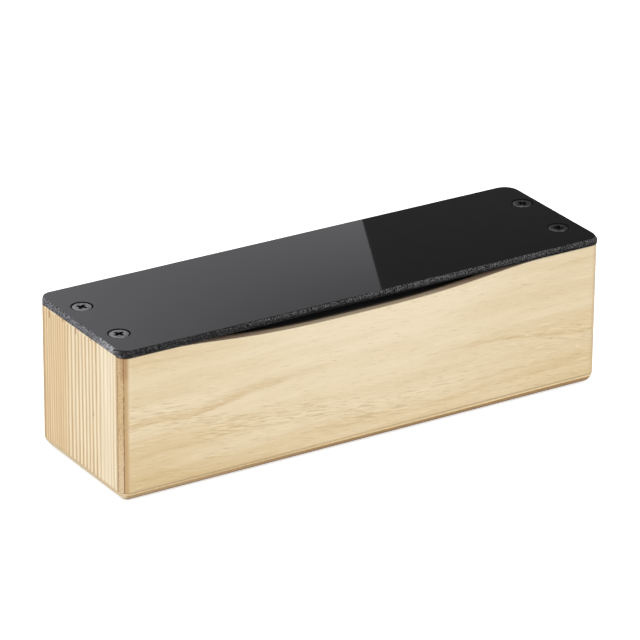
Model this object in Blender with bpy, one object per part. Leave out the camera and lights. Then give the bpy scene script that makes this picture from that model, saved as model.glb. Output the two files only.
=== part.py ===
"""Hand-held box shaker: plywood sides and base, solid end blocks, a screwed top plate and loose shot.

The frame is +Z up with the origin under the middle of the base. X runs along the box and -Y is the front.
Sizes are in metres.
"""

import math

import bmesh
import bpy
from mathutils import Vector

# Box
LENGTH = 0.200
WIDTH = 0.059
WOOD_HEIGHT = 0.055
SIDE_THICKNESS = 0.004
BASE_THICKNESS = 0.0036
END_THICKNESS = 0.016
CORNER_RADIUS = 0.0036
BASE_ROUND = 0.0042
BASE_FOOT_CORNER = 0.0001

# Sound slot cut into the top edge of both sides
SLOT_DEPTH = 0.0041
SLOT_HALF_LENGTH = 0.0794
SLOT_OFFSET_X = -0.0037
SLOT_FULLNESS = 3.0
SLOT_RUNOUT = 1.95
SLOT_LAND = 0.002

# Cover over the shot chamber
COVER_THICKNESS = 0.003
COVER_LEDGE = 0.004
COVER_CORNER = 0.001

# Top plate
PLATE_THICKNESS = 0.0025
PLATE_OVERHANG = 0.0004
PLATE_CORNER_RADIUS = 0.0045
PLATE_CHAMFER_WIDTH = 0.0005
PLATE_CHAMFER_HEIGHT = 0.0011

# Countersunk screws with a cross recess
HEAD_DIAMETER = 0.007
HEAD_RIM = 0.0001
HEAD_SINK = 0.00015
SHANK_DIAMETER = 0.0035
SCREW_LENGTH = 0.018
TIP_LENGTH = 0.004
TIP_DIAMETER = 0.0006
RECESS_SPAN = 0.0042
RECESS_WIDTH = 0.0013
RECESS_DEPTH = 0.0014

# How far in from its end and from its side each screw stands
FRONT_LEFT_FROM_END = 0.0075
FRONT_LEFT_FROM_SIDE = 0.0149
REAR_LEFT_FROM_END = 0.0079
REAR_LEFT_FROM_SIDE = 0.0172
FRONT_RIGHT_FROM_END = 0.0080
FRONT_RIGHT_FROM_SIDE = 0.0155
REAR_RIGHT_FROM_END = 0.0060
REAR_RIGHT_FROM_SIDE = 0.0174

# Each screw's place and the turn of its recess in degrees
SCREWS = {
    ("front", "left"): (FRONT_LEFT_FROM_END, FRONT_LEFT_FROM_SIDE, 20.0),
    ("rear", "left"): (REAR_LEFT_FROM_END, REAR_LEFT_FROM_SIDE, 35.0),
    ("front", "right"): (FRONT_RIGHT_FROM_END, FRONT_RIGHT_FROM_SIDE, 55.0),
    ("rear", "right"): (REAR_RIGHT_FROM_END, REAR_RIGHT_FROM_SIDE, 10.0),
}

# Loose shot, one ball to a lane across the chamber
BALL_DIAMETER = 0.006
LANE_GAP = 0.0009
SCATTER_SHARE = 0.9
SCATTER_TURN = math.radians(137.5)

# Gaps that touching pieces keep
SEAT_GAP = 0.0003
SCREW_GAP = 0.00025

# Faceting
CORNER_STEPS = 6
ROUND_STEPS = 5
SLOT_STEPS = 28
TURN_STEPS = 24
BALL_STEPS = 2
SHARP_ANGLE = math.radians(32.0)

# Which way the sides and ends face, along Y and along X
SIDES = {"front": -1, "rear": 1}
ENDS = {"left": -1, "right": 1}

# Sizes that follow from the ones above
EDGE_RADIUS = min(CORNER_RADIUS, SIDE_THICKNESS - SEAT_GAP)
SLOT_REACH = min(SLOT_HALF_LENGTH, LENGTH / 2 - EDGE_RADIUS - SLOT_LAND - abs(SLOT_OFFSET_X))
WALL_BOTTOM = BASE_THICKNESS + SEAT_GAP
INNER_HALF_WIDTH = WIDTH / 2 - SIDE_THICKNESS
CHAMBER_HALF_LENGTH = LENGTH / 2 - END_THICKNESS
COVER_TOP = WOOD_HEIGHT - SLOT_DEPTH
COVER_BOTTOM = COVER_TOP - COVER_THICKNESS
LEDGE_TOP = COVER_BOTTOM - SEAT_GAP
PLATE_BOTTOM = WOOD_HEIGHT + SEAT_GAP
PLATE_TOP = PLATE_BOTTOM + PLATE_THICKNESS

FINISHES = {
    "plywood": ((0.76, 0.62, 0.40), 0.55, 0.0),
    "softwood": ((0.82, 0.68, 0.44), 0.60, 0.0),
    "black_plate": ((0.012, 0.012, 0.013), 0.12, 0.0),
    "black_board": ((0.010, 0.010, 0.010), 0.80, 0.0),
    "black_screw": ((0.030, 0.030, 0.032), 0.40, 1.0),
    "steel_shot": ((0.55, 0.55, 0.56), 0.25, 1.0),
}


def clear_scene():
    """Remove every object that the scene starts with."""
    for item in list(bpy.data.objects):
        bpy.data.objects.remove(item, do_unlink=True)


def make_materials():
    """Make one Principled material for each finish."""
    made = {}
    for name, (colour, roughness, metallic) in FINISHES.items():
        material = bpy.data.materials.new(name)
        material.use_nodes = True
        shader = material.node_tree.nodes["Principled BSDF"]
        shader.inputs["Base Color"].default_value = (*colour, 1.0)
        shader.inputs["Roughness"].default_value = roughness
        shader.inputs["Metallic"].default_value = metallic
        made[name] = material
    return made


def add_object(name, mesh_tool, material, root):
    """Turn a bmesh into a named object with smooth shading and sharp corners."""
    bmesh.ops.recalc_face_normals(mesh_tool, faces=mesh_tool.faces)
    mesh = bpy.data.meshes.new(name)
    mesh_tool.to_mesh(mesh)
    mesh_tool.free()
    mesh.materials.append(material)
    mesh.shade_smooth()
    mesh.set_sharp_from_angle(angle=SHARP_ANGLE)
    made = bpy.data.objects.new(name, mesh)
    bpy.context.scene.collection.objects.link(made)
    made.parent = root
    return made


def as_cutter(cutter):
    """Hide a cutter from renders and show it as wire."""
    cutter.hide_render = True
    cutter.display_type = "WIRE"
    return cutter


def cut(target, cutter):
    """Cut one solid out of another, leaving the modifier live."""
    modifier = target.modifiers.new(cutter.name, "BOOLEAN")
    modifier.operation = "DIFFERENCE"
    modifier.solver = "EXACT"
    modifier.object = cutter


def loft(rings):
    """Skin a row of closed rings of equal length and cap both ends."""
    tool = bmesh.new()
    loops = []
    for ring in rings:
        loops.append([tool.verts.new(point) for point in ring])
    for near, far in zip(loops, loops[1:]):
        for index in range(len(near)):
            following = (index + 1) % len(near)
            tool.faces.new((near[index], near[following], far[following], far[index]))
    tool.faces.new(list(reversed(loops[0])))
    tool.faces.new(loops[-1])
    return tool


def rounded_ring(half_x, half_y, radius, height):
    """Give a rounded rectangle at one height, counter-clockwise seen from above."""
    points = []
    for corner, (sign_x, sign_y) in enumerate(((1, 1), (-1, 1), (-1, -1), (1, -1))):
        centre_x = sign_x * (half_x - radius)
        centre_y = sign_y * (half_y - radius)
        for step in range(CORNER_STEPS + 1):
            angle = (corner + step / CORNER_STEPS) * math.pi / 2
            points.append(Vector((
                centre_x + radius * math.cos(angle),
                centre_y + radius * math.sin(angle),
                height,
            )))
    return points


def turned(profile):
    """Spin a profile of (radius, height) pairs, listed from the top down, into a closed solid."""
    rings = []
    for radius, height in profile:
        ring = []
        for step in range(TURN_STEPS):
            angle = 2 * math.pi * step / TURN_STEPS
            ring.append(Vector((radius * math.cos(angle), radius * math.sin(angle), height)))
        rings.append(ring)
    return loft(rings)


def base_profile():
    """List (inset, height) pairs down the base's edge; a round taller than the base is cut off by its top."""
    start = math.asin(max(0.0, 1 - BASE_THICKNESS / BASE_ROUND))
    pairs = [(0.0, BASE_THICKNESS)] if BASE_ROUND < BASE_THICKNESS else []
    for step in range(ROUND_STEPS + 1):
        angle = start + (math.pi / 2 - start) * step / ROUND_STEPS
        pairs.append((BASE_ROUND * (1 - math.cos(angle)), BASE_ROUND * (1 - math.sin(angle))))
    return pairs


def make_base(materials, root):
    """Base panel: rounded corners in plan and a round lower edge all the way round."""
    rings = []
    for inset, height in base_profile():
        corner = max(EDGE_RADIUS - inset, BASE_FOOT_CORNER)
        rings.append(rounded_ring(LENGTH / 2 - inset, WIDTH / 2 - inset, corner, height))
    add_object("bottom_panel", loft(rings), materials["plywood"], root)


def slot_dip(x):
    """Depth of the sound slot below the wood's top at a place along the box."""
    reach = abs(x - SLOT_OFFSET_X) / SLOT_REACH
    if reach >= 1.0:
        return 0.0
    return SLOT_DEPTH * (1 - reach ** SLOT_FULLNESS) ** SLOT_RUNOUT


def side_stations():
    """List (x, inset) along a side panel: the rounded ends and the run of the slot."""
    rounded = []
    for step in range(CORNER_STEPS + 1):
        angle = step / CORNER_STEPS * math.pi / 2
        rounded.append((
            LENGTH / 2 - EDGE_RADIUS * (1 - math.cos(angle)),
            EDGE_RADIUS * (1 - math.sin(angle)),
        ))
    slot = []
    for step in range(SLOT_STEPS + 1):
        turn = math.pi * step / SLOT_STEPS
        slot.append((SLOT_OFFSET_X - SLOT_REACH * math.cos(turn), 0.0))
    left = [(-x, inset) for x, inset in rounded]
    return left + slot + list(reversed(rounded))


def make_side(side, materials, root):
    """Side panel lofted along the box."""
    facing = SIDES[side]
    inner = facing * INNER_HALF_WIDTH
    rings = []
    for x, inset in side_stations():
        outer = facing * (WIDTH / 2 - inset)
        top = WOOD_HEIGHT - slot_dip(x)
        rings.append([
            Vector((x, outer, WALL_BOTTOM)),
            Vector((x, inner, WALL_BOTTOM)),
            Vector((x, inner, top)),
            Vector((x, outer, top)),
        ])
    add_object(f"{side}_panel", loft(rings), materials["plywood"], root)


def make_end_block(end, materials, root):
    """End block with a ledge for the cover."""
    outer = LENGTH / 2
    inner = CHAMBER_HALF_LENGTH
    ledge = inner + COVER_LEDGE
    outline = [
        (outer, WALL_BOTTOM),
        (outer, WOOD_HEIGHT),
        (ledge, WOOD_HEIGHT),
        (ledge, LEDGE_TOP),
        (inner, LEDGE_TOP),
        (inner, WALL_BOTTOM),
    ]
    half_y = INNER_HALF_WIDTH - SEAT_GAP
    rings = []
    for y in (-half_y, half_y):
        rings.append([Vector((ENDS[end] * x, y, z)) for x, z in outline])
    return add_object(f"{end}_end_block", loft(rings), materials["softwood"], root)


def make_cover(materials, root):
    """Black board that closes the shot chamber, resting on the end blocks' ledges."""
    half_x = CHAMBER_HALF_LENGTH + COVER_LEDGE - SEAT_GAP
    half_y = INNER_HALF_WIDTH - SEAT_GAP
    rings = []
    for height in (COVER_BOTTOM, COVER_TOP):
        rings.append(rounded_ring(half_x, half_y, COVER_CORNER, height))
    add_object("chamber_cover", loft(rings), materials["black_board"], root)


def make_plate(materials, root):
    """Top plate with rounded corners and a chamfered upper edge."""
    half_x = LENGTH / 2 + PLATE_OVERHANG
    half_y = WIDTH / 2 + PLATE_OVERHANG
    shoulder = PLATE_TOP - PLATE_CHAMFER_HEIGHT
    rings = [
        rounded_ring(half_x, half_y, PLATE_CORNER_RADIUS, PLATE_BOTTOM),
        rounded_ring(half_x, half_y, PLATE_CORNER_RADIUS, shoulder),
        rounded_ring(
            half_x - PLATE_CHAMFER_WIDTH,
            half_y - PLATE_CHAMFER_WIDTH,
            PLATE_CORNER_RADIUS - PLATE_CHAMFER_WIDTH,
            PLATE_TOP,
        ),
    ]
    return add_object("top_plate", loft(rings), materials["black_plate"], root)


def screw_profile():
    """Outline of a countersunk screw, heights measured from the plate's top."""
    head = HEAD_DIAMETER / 2
    shank = SHANK_DIAMETER / 2
    rim = -HEAD_SINK - HEAD_RIM
    return [
        (head, -HEAD_SINK),
        (head, rim),
        (shank, rim - (head - shank)),
        (shank, -SCREW_LENGTH + TIP_LENGTH),
        (TIP_DIAMETER / 2, -SCREW_LENGTH),
    ]


def hole_profile():
    """Outline of the countersunk hole, one screw gap wider than the screw all round."""
    head = HEAD_DIAMETER / 2 + SCREW_GAP * math.sqrt(2)
    shank = SHANK_DIAMETER / 2 + SCREW_GAP
    rim = -HEAD_SINK - HEAD_RIM
    above = HEAD_DIAMETER / 2
    return [
        (head - rim + above, above),
        (shank, rim - (head - shank)),
        (shank, -SCREW_LENGTH - SCREW_GAP),
    ]


def recess_cutter(name, turn, materials, root):
    """Tapered cross that cuts a screw's driver recess."""
    half_span = RECESS_SPAN / 2
    half_width = RECESS_WIDTH / 2
    above = HEAD_SINK + RECESS_DEPTH
    foot = -HEAD_SINK - RECESS_DEPTH
    rings = []
    for height, span in ((foot, RECESS_WIDTH), (-HEAD_SINK, half_span), (above, half_span)):
        ring = []
        for arm in range(4):
            angle = turn + arm * math.pi / 2
            along = Vector((math.cos(angle), math.sin(angle), 0.0))
            across = Vector((-along.y, along.x, 0.0))
            lift = Vector((0.0, 0.0, height))
            ring.append(along * span - across * half_width + lift)
            ring.append(along * span + across * half_width + lift)
            ring.append(along * half_width + across * half_width + lift)
        rings.append(ring)
    return as_cutter(add_object(name, loft(rings), materials["black_screw"], root))


def make_screw(name, place, turn, materials, root):
    """One screw with its cross recess, and the cutter for its hole."""
    screw = add_object(name, turned(screw_profile()), materials["black_screw"], root)
    screw.location = place
    recess = recess_cutter(name + "_recess", turn, materials, root)
    recess.location = place
    cut(screw, recess)
    hole = as_cutter(add_object(name + "_hole", turned(hole_profile()), materials["black_screw"], root))
    hole.location = place
    return hole


def make_fastened_top(blocks, materials, root):
    """Top plate and the screws that hold it down to the end blocks."""
    plate = make_plate(materials, root)
    for (side, end), (from_end, from_side, turn) in SCREWS.items():
        x = ENDS[end] * (LENGTH / 2 - from_end)
        y = SIDES[side] * (WIDTH / 2 - from_side)
        place = Vector((x, y, PLATE_TOP))
        hole = make_screw(f"screw_{side}_{end}", place, math.radians(turn), materials, root)
        cut(plate, hole)
        cut(blocks[end], hole)


def make_shot(materials, root):
    """Loose balls on the base, one to a lane, scattered between the front and the rear wall."""
    chamber_length = 2 * CHAMBER_HALF_LENGTH
    count = int(chamber_length / (BALL_DIAMETER + LANE_GAP))
    pitch = chamber_length / count
    radius = BALL_DIAMETER / 2
    reach = INNER_HALF_WIDTH - radius - SEAT_GAP
    first_x = pitch / 2 - CHAMBER_HALF_LENGTH
    for lane in range(count):
        ball = bmesh.new()
        bmesh.ops.create_icosphere(ball, subdivisions=BALL_STEPS, radius=radius)
        name = f"shot_ball_{lane + 1:02d}"
        made = add_object(name, ball, materials["steel_shot"], root)
        made.location = (
            first_x + lane * pitch,
            SCATTER_SHARE * reach * math.sin((lane + 1) * SCATTER_TURN),
            WALL_BOTTOM + radius,
        )


def main():
    """Build the shaker."""
    clear_scene()
    materials = make_materials()
    root = bpy.data.objects.new("shaker", None)
    bpy.context.scene.collection.objects.link(root)
    make_base(materials, root)
    for side in SIDES:
        make_side(side, materials, root)
    blocks = {end: make_end_block(end, materials, root) for end in ENDS}
    make_cover(materials, root)
    make_fastened_top(blocks, materials, root)
    make_shot(materials, root)


main()
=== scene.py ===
"""Dresses the box shaker and sets it in a plain studio.

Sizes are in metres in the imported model's frame: +Z up, X along the box, -Y to the front, the origin under the
middle of the base. Patterns in materials are laid out in millimetres.
"""

import logging
import math
from dataclasses import dataclass, field
from enum import Enum
from functools import reduce
from typing import Iterable, Sequence, Union

import bmesh
import bpy
from mathutils import Matrix, Vector, noise


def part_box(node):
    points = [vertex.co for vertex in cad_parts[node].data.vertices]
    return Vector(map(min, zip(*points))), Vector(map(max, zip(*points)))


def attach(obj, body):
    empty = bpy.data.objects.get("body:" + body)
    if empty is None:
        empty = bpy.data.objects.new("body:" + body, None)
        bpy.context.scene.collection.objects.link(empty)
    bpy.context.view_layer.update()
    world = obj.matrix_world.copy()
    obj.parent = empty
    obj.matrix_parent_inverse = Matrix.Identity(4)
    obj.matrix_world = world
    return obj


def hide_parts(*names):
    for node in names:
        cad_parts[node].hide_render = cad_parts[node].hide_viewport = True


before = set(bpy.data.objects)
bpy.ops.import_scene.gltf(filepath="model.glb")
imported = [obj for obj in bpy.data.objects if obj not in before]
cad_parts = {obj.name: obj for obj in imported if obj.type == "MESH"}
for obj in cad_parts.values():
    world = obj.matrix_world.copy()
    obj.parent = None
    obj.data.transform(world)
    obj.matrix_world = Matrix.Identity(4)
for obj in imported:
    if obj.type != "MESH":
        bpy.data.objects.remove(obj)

LOG = logging.getLogger("shaker")
BOX_BODY = "box"
SHARP_ANGLE = math.radians(36.0)
MERGE_DISTANCE = 1e-7
MM = 1000.0
FLOAT = "NodeSocketFloat"
VECTOR = "NodeSocketVector"
MATERIAL = "NodeSocketMaterial"
GEOMETRY = "NodeSocketGeometry"
MIX_COLOUR_INPUTS = (0, 6, 7)
MIX_COLOUR_OUTPUT = 2

Socket = bpy.types.NodeSocket
Node = bpy.types.Node
NodeTree = bpy.types.NodeTree
Material = bpy.types.Material
Object = bpy.types.Object
Outputs = bpy.types.bpy_prop_collection
Pair = tuple[float, float]
Triple = tuple[float, float, float]
Colour = tuple[float, float, float, float]
Settings = tuple[tuple[str, float], ...]
Value = Union[float, int, tuple, str, Socket, Material]
Look = tuple[Socket, Socket, Socket]
WHITE: Colour = (1.0, 1.0, 1.0, 1.0)


class Side(Enum):
    """Long sides of the box, by the sign of Y."""

    FRONT = -1
    REAR = 1


class End(Enum):
    """Short ends of the box, by the sign of X."""

    LEFT = -1
    RIGHT = 1


class Slot(Enum):
    """Material slots of the record, one for each kind of new piece."""

    PLYWOOD = "plywood"
    SOFTWOOD = "softwood"
    PLATE = "black_plate"
    SCREW = "black_screw"
    SHOT = "steel_shot"


def srgb(red: float, green: float, blue: float) -> Colour:
    """Turn an sRGB colour into the linear one that a shader takes.

    Args:
        red: Red from 0 to 255.
        green: Green from 0 to 255.
        blue: Blue from 0 to 255.

    Returns:
        Linear red, green, blue and a full alpha.
    """
    linear = []
    for level in (red, green, blue):
        share = level / 255.0
        linear.append(share / 12.92 if share <= 0.04045 else ((share + 0.055) / 1.055) ** 2.4)
    return (*linear, 1.0)


@dataclass(frozen=True)
class ShakerSizes:
    """Sizes that the solids are made to."""

    length: float = 0.200
    width: float = 0.059
    wood_height: float = 0.055
    side_thickness: float = 0.004
    base_thickness: float = 0.0036
    end_thickness: float = 0.016
    edge_radius: float = 0.0036
    base_round: float = 0.0042
    cover_thickness: float = 0.003
    cover_ledge: float = 0.004
    slot_depth: float = 0.0041
    slot_half_length: float = 0.0794
    slot_offset: float = -0.0037
    slot_fullness: float = 3.0
    slot_runout: float = 1.95
    plate_thickness: float = 0.0025
    plate_overhang: float = 0.0004
    seat_gap: float = 0.0003
    seam: float = 0.00006

    @property
    def wall_bottom(self) -> float:
        """Height of the walls' lower edge, pushed down on the base's glue."""
        return self.base_thickness + self.seam

    @property
    def inner_half_width(self) -> float:
        """Half the clear width between the sides."""
        return self.width / 2 - self.side_thickness

    @property
    def chamber_half_length(self) -> float:
        """Half the clear length between the end blocks."""
        return self.length / 2 - self.end_thickness

    @property
    def ledge_top(self) -> float:
        """Height of the ledge that carries the cover."""
        return self.wood_height - self.slot_depth - self.cover_thickness - self.seat_gap

    @property
    def plate_bottom(self) -> float:
        """Height of the plate's lower face."""
        return self.wood_height + self.seat_gap

    @property
    def plate_top(self) -> float:
        """Height of the plate's upper face."""
        return self.plate_bottom + self.plate_thickness


FACE_LENGTH = ShakerSizes.length * MM
FACE_HEIGHT = ShakerSizes.wood_height * MM
HALFWAY = 0.5


class Graph:
    """Short calls that lay nodes into one node tree."""

    def __init__(self, tree: NodeTree) -> None:
        """Keep the tree that nodes go into."""
        self.tree = tree

    def feed(self, socket: Socket, value: Value) -> None:
        """Link a socket, or set it where the value is a plain one.

        Args:
            socket: The input to feed.
            value: A plain value, or the output to link.
        """
        if isinstance(value, Socket):
            self.tree.links.new(value, socket)
        else:
            socket.default_value = value

    def node(self, kind: str, inputs: dict | None = None, **settings: object) -> Node:
        """Add a node.

        Args:
            kind: Blender's name of the node type.
            inputs: Values or sockets for its inputs, by name or number.
            **settings: Properties of the node.

        Returns:
            The new node.
        """
        made = self.tree.nodes.new(kind)
        for name, setting in settings.items():
            setattr(made, name, setting)
        for key, value in (inputs or {}).items():
            self.feed(made.inputs[key], value)
        return made

    def math(self, operation: str, *terms: Value, clamp: bool = False) -> Socket:
        """Add a math node and give its result."""
        made = self.node("ShaderNodeMath", dict(enumerate(terms)), operation=operation, use_clamp=clamp)
        return made.outputs[0]

    def total(self, *terms: Value) -> Socket:
        """Add any number of terms up."""
        return reduce(lambda result, term: self.math("ADD", result, term), terms)

    def minus(self, whole: Value, part: Value) -> Socket:
        """Take one term from another."""
        return self.math("SUBTRACT", whole, part)

    def product(self, *terms: Value) -> Socket:
        """Multiply any number of terms."""
        return reduce(lambda result, term: self.math("MULTIPLY", result, term), terms)

    def rise(self, value: Value, low: Value, high: Value) -> Socket:
        """Give a smooth step from 0 at low to 1 at high."""
        made = self.node(
            "ShaderNodeMapRange",
            {"Value": value, "From Min": low, "From Max": high},
            interpolation_type="SMOOTHSTEP",
        )
        return made.outputs[0]

    def span(self, value: Value, low: float, high: float) -> Socket:
        """Spread a value from 0 to 1 over low to high."""
        return self.node("ShaderNodeMapRange", {"Value": value, "To Min": low, "To Max": high}).outputs[0]

    def split(self, vector: Value) -> tuple[Socket, ...]:
        """Give a vector's three parts."""
        return tuple(self.node("ShaderNodeSeparateXYZ", {0: vector}).outputs)

    def join(self, x: Value, y: Value, z: Value) -> Socket:
        """Give a vector from three parts."""
        return self.node("ShaderNodeCombineXYZ", {0: x, 1: y, 2: z}).outputs[0]

    def stretch(self, vector: Value, scale: Triple) -> Socket:
        """Multiply a vector by a scale for each axis."""
        return self.node("ShaderNodeVectorMath", {0: vector, 1: scale}, operation="MULTIPLY").outputs[0]

    def noise(self, vector: Value, scale: Value = 1.0, detail: float = 2.0) -> Socket:
        """Give smooth noise from 0 to 1 at a vector."""
        made = self.node("ShaderNodeTexNoise", {"Vector": vector, "Scale": scale, "Detail": detail})
        return made.outputs[0]

    def curve(self, value: Value, points: Sequence[Pair]) -> Socket:
        """Map a value from 0 to 1 through a smooth curve.

        Args:
            value: The value or socket to map.
            points: Places on the curve, from left to right.

        Returns:
            The mapped value.
        """
        made = self.node("ShaderNodeFloatCurve", {"Value": value})
        line = made.mapping.curves[0]
        line.points[0].location = points[0]
        line.points[1].location = points[-1]
        for place in points[1:-1]:
            line.points.new(*place)
        made.mapping.update()
        return made.outputs[0]

    def mix(self, share: Value, first: Value, second: Value) -> Socket:
        """Mix two colours by a share, which is held between 0 and 1."""
        inputs = dict(zip(MIX_COLOUR_INPUTS, (share, first, second)))
        return self.node("ShaderNodeMix", inputs, data_type="RGBA").outputs[MIX_COLOUR_OUTPUT]

    def coats(self, colour: Value, *layers: tuple[Value, Value]) -> Socket:
        """Lay colours over a first one, each with its mask, from the lowest up."""
        return reduce(lambda below, layer: self.mix(layer[0], below, layer[1]), layers, colour)

    def group(self, tree: NodeTree, inputs: dict) -> Node:
        """Place a node group and feed its inputs."""
        return self.node("ShaderNodeGroup", inputs, node_tree=tree)


@dataclass(frozen=True)
class Fade:
    """A soft change along one measure: none at its start, full at its end, times a share."""

    start: float
    end: float
    share: float = 1.0

    def mask(self, graph: Graph, measure: Value) -> Socket:
        """Give how far the change has gone at a measure."""
        gone = graph.rise(measure, self.start, self.end)
        return gone if self.share == 1.0 else graph.product(gone, self.share)


@dataclass(frozen=True)
class Cloud:
    """Smooth noise with a scale for each axis, as a mask between two of its levels or spread over a range."""

    scale: Triple
    low: float = 0.0
    high: float = 1.0
    detail: float = 2.0
    share: float = 1.0

    def level(self, graph: Graph, place: Value) -> Socket:
        """Give the noise itself, from 0 to 1."""
        return graph.noise(graph.stretch(place, self.scale), detail=self.detail)

    def mask(self, graph: Graph, place: Value) -> Socket:
        """Give a soft step from none at the low level to the share at the high one."""
        return Fade(self.low, self.high, self.share).mask(graph, self.level(graph, place))

    def swing(self, graph: Graph, place: Value) -> Socket:
        """Give the noise spread from low to high."""
        return graph.span(self.level(graph, place), self.low, self.high)


class SurfaceEffect:
    """A shader node group that several finishes share."""

    def __init__(self, name: str, inputs: dict[str, str], outputs: Sequence[str]) -> None:
        """Make the group with named sockets.

        Args:
            name: The group's name.
            inputs: Socket type for each input's name.
            outputs: Names of the masks and values that it puts out.
        """
        self.tree = bpy.data.node_groups.new(name, "ShaderNodeTree")
        for flow, sockets in (("INPUT", inputs), ("OUTPUT", dict.fromkeys(outputs, FLOAT))):
            for label, kind in sockets.items():
                self.tree.interface.new_socket(name=label, in_out=flow, socket_type=kind)
        self.graph = Graph(self.tree)
        self.entry = self.graph.node("NodeGroupInput").outputs
        self.exit = self.graph.node("NodeGroupOutput").inputs

    def give(self, **results: Value) -> None:
        """Link results to the outputs of the same names."""
        for label, value in results.items():
            self.graph.feed(self.exit[label], value)


@dataclass(frozen=True)
class FibreEffect:
    """Wood fibre, the grain along the vector's X: soft bands, fine fibre, and short dark and light flecks.

    Flecks and glints lie where the dashes' noise leaves its middle by more than a gap, and crowding narrows
    the gap.
    """

    bands: Cloud = Cloud((0.013, 0.15, 0.15), detail=4.0)
    fibre: Cloud = Cloud((0.10, 3.0, 3.0), detail=3.0)
    dashes: Cloud = Cloud((0.20, 2.9, 2.9), detail=3.0)
    rows: Cloud = Cloud((0.030, 0.24, 0.24), 0.28, 0.64, detail=3.0)
    row_share: Pair = (0.42, 1.0)
    gap: float = 0.145
    narrowing: float = -0.11
    softness: float = 0.11

    def build(self) -> NodeTree:
        """Make the node group.

        Returns:
            The node group.
        """
        effect = SurfaceEffect(
            "wood_fibre",
            {"Grain": VECTOR, "Crowding": FLOAT, "Slant": FLOAT},
            ("Bands", "Fibre", "Flecks", "Glints"),
        )
        graph, entry = effect.graph, effect.entry
        grain = entry["Grain"]
        along, across, deep = graph.split(grain)
        leaning = graph.join(along, across, graph.math("MULTIPLY_ADD", along, entry["Slant"], deep))
        dashes = self.dashes.level(graph, leaning)
        rows = graph.span(self.rows.mask(graph, grain), *self.row_share)
        crowded = graph.product(entry["Crowding"], rows)
        near = graph.math("MULTIPLY_ADD", crowded, self.narrowing, self.gap)
        far = graph.total(near, self.softness)
        effect.give(
            Bands=self.bands.level(graph, grain),
            Fibre=self.fibre.level(graph, grain),
            Flecks=graph.rise(dashes, *(graph.total(HALFWAY, gap) for gap in (near, far))),
            Glints=graph.rise(dashes, *(graph.minus(HALFWAY, gap) for gap in (near, far))),
        )
        return effect.tree


@dataclass(frozen=True)
class PlyEffect:
    """Layers of three-ply board by the depth below its face, with the glue lines between them."""

    blur: float = 0.5
    glue_heart: float = 0.35

    def build(self) -> NodeTree:
        """Make the node group.

        Returns:
            The node group.
        """
        effect = SurfaceEffect(
            "ply_layers",
            {"Depth": FLOAT, "Face": FLOAT, "Core": FLOAT, "Glue": FLOAT, "Waver": FLOAT},
            ("Core", "Glue"),
        )
        graph, entry = effect.graph, effect.entry
        depth = graph.total(entry["Depth"], entry["Waver"])
        past_near = graph.minus(depth, entry["Face"])
        past_far = graph.minus(depth, graph.total(entry["Face"], entry["Core"]))
        blur = graph.product(entry["Glue"], self.blur)
        ahead = graph.product(blur, -1.0)
        nearest = graph.math("MINIMUM", graph.math("ABSOLUTE", past_near), graph.math("ABSOLUTE", past_far))
        effect.give(
            Core=graph.product(graph.rise(past_near, ahead, blur), graph.rise(past_far, blur, ahead)),
            Glue=graph.rise(nearest, entry["Glue"], graph.product(entry["Glue"], self.glue_heart)),
        )
        return effect.tree


@dataclass(frozen=True)
class GritEffect:
    """Fine grit: a speckle mask and the uneven ground it sits on."""

    grain_detail: float = 3.0
    ground_scale: float = 0.13
    ground_detail: float = 2.0

    def build(self) -> NodeTree:
        """Make the node group.

        Returns:
            The node group.
        """
        effect = SurfaceEffect(
            "fine_grit",
            {"Vector": VECTOR, "Scale": FLOAT, "Low": FLOAT, "High": FLOAT},
            ("Speckle", "Ground"),
        )
        graph, entry = effect.graph, effect.entry
        grains = graph.noise(entry["Vector"], entry["Scale"], self.grain_detail)
        ground_scale = graph.product(entry["Scale"], self.ground_scale)
        effect.give(
            Speckle=graph.rise(grains, entry["Low"], entry["High"]),
            Ground=graph.noise(entry["Vector"], ground_scale, self.ground_detail),
        )
        return effect.tree


@dataclass
class Effects:
    """The shared surface effects, built once."""

    fibre: NodeTree = field(default_factory=FibreEffect().build)
    ply: NodeTree = field(default_factory=PlyEffect().build)
    grit: NodeTree = field(default_factory=GritEffect().build)


@dataclass(frozen=True)
class Surface:
    """What a finish is laid out on: a graph, the shared effects, and object coordinates in millimetres."""

    graph: Graph
    effects: Effects
    place: Socket
    normal: Socket

    def facing(self) -> tuple[Socket, ...]:
        """Give how far the surface faces along each axis, from 0 to 1."""
        return tuple(self.graph.math("ABSOLUTE", part) for part in self.graph.split(self.normal))

    def wood(self, grain: Value, crowding: Value, slant: float = 0.0) -> Outputs:
        """Place the shared wood fibre and give its outputs."""
        inputs = {"Grain": grain, "Crowding": crowding, "Slant": slant}
        return self.graph.group(self.effects.fibre, inputs).outputs


@dataclass(frozen=True)
class Grit:
    """How fine a finish's grit is, and the levels of noise that its speckle lies between."""

    scale: float
    low: float
    high: float

    def lay(self, surface: Surface, vector: Value) -> Outputs:
        """Place the shared grit at a vector and give its outputs."""
        return surface.graph.group(surface.effects.grit, {
            "Vector": vector, "Scale": self.scale, "Low": self.low, "High": self.high}).outputs


def blank_material(name: str) -> tuple[Material, Graph]:
    """Make a material with nodes.

    Args:
        name: Its name.

    Returns:
        The material and its graph.
    """
    material = bpy.data.materials.new(name)
    material.use_nodes = True
    return material, Graph(material.node_tree)


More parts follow.
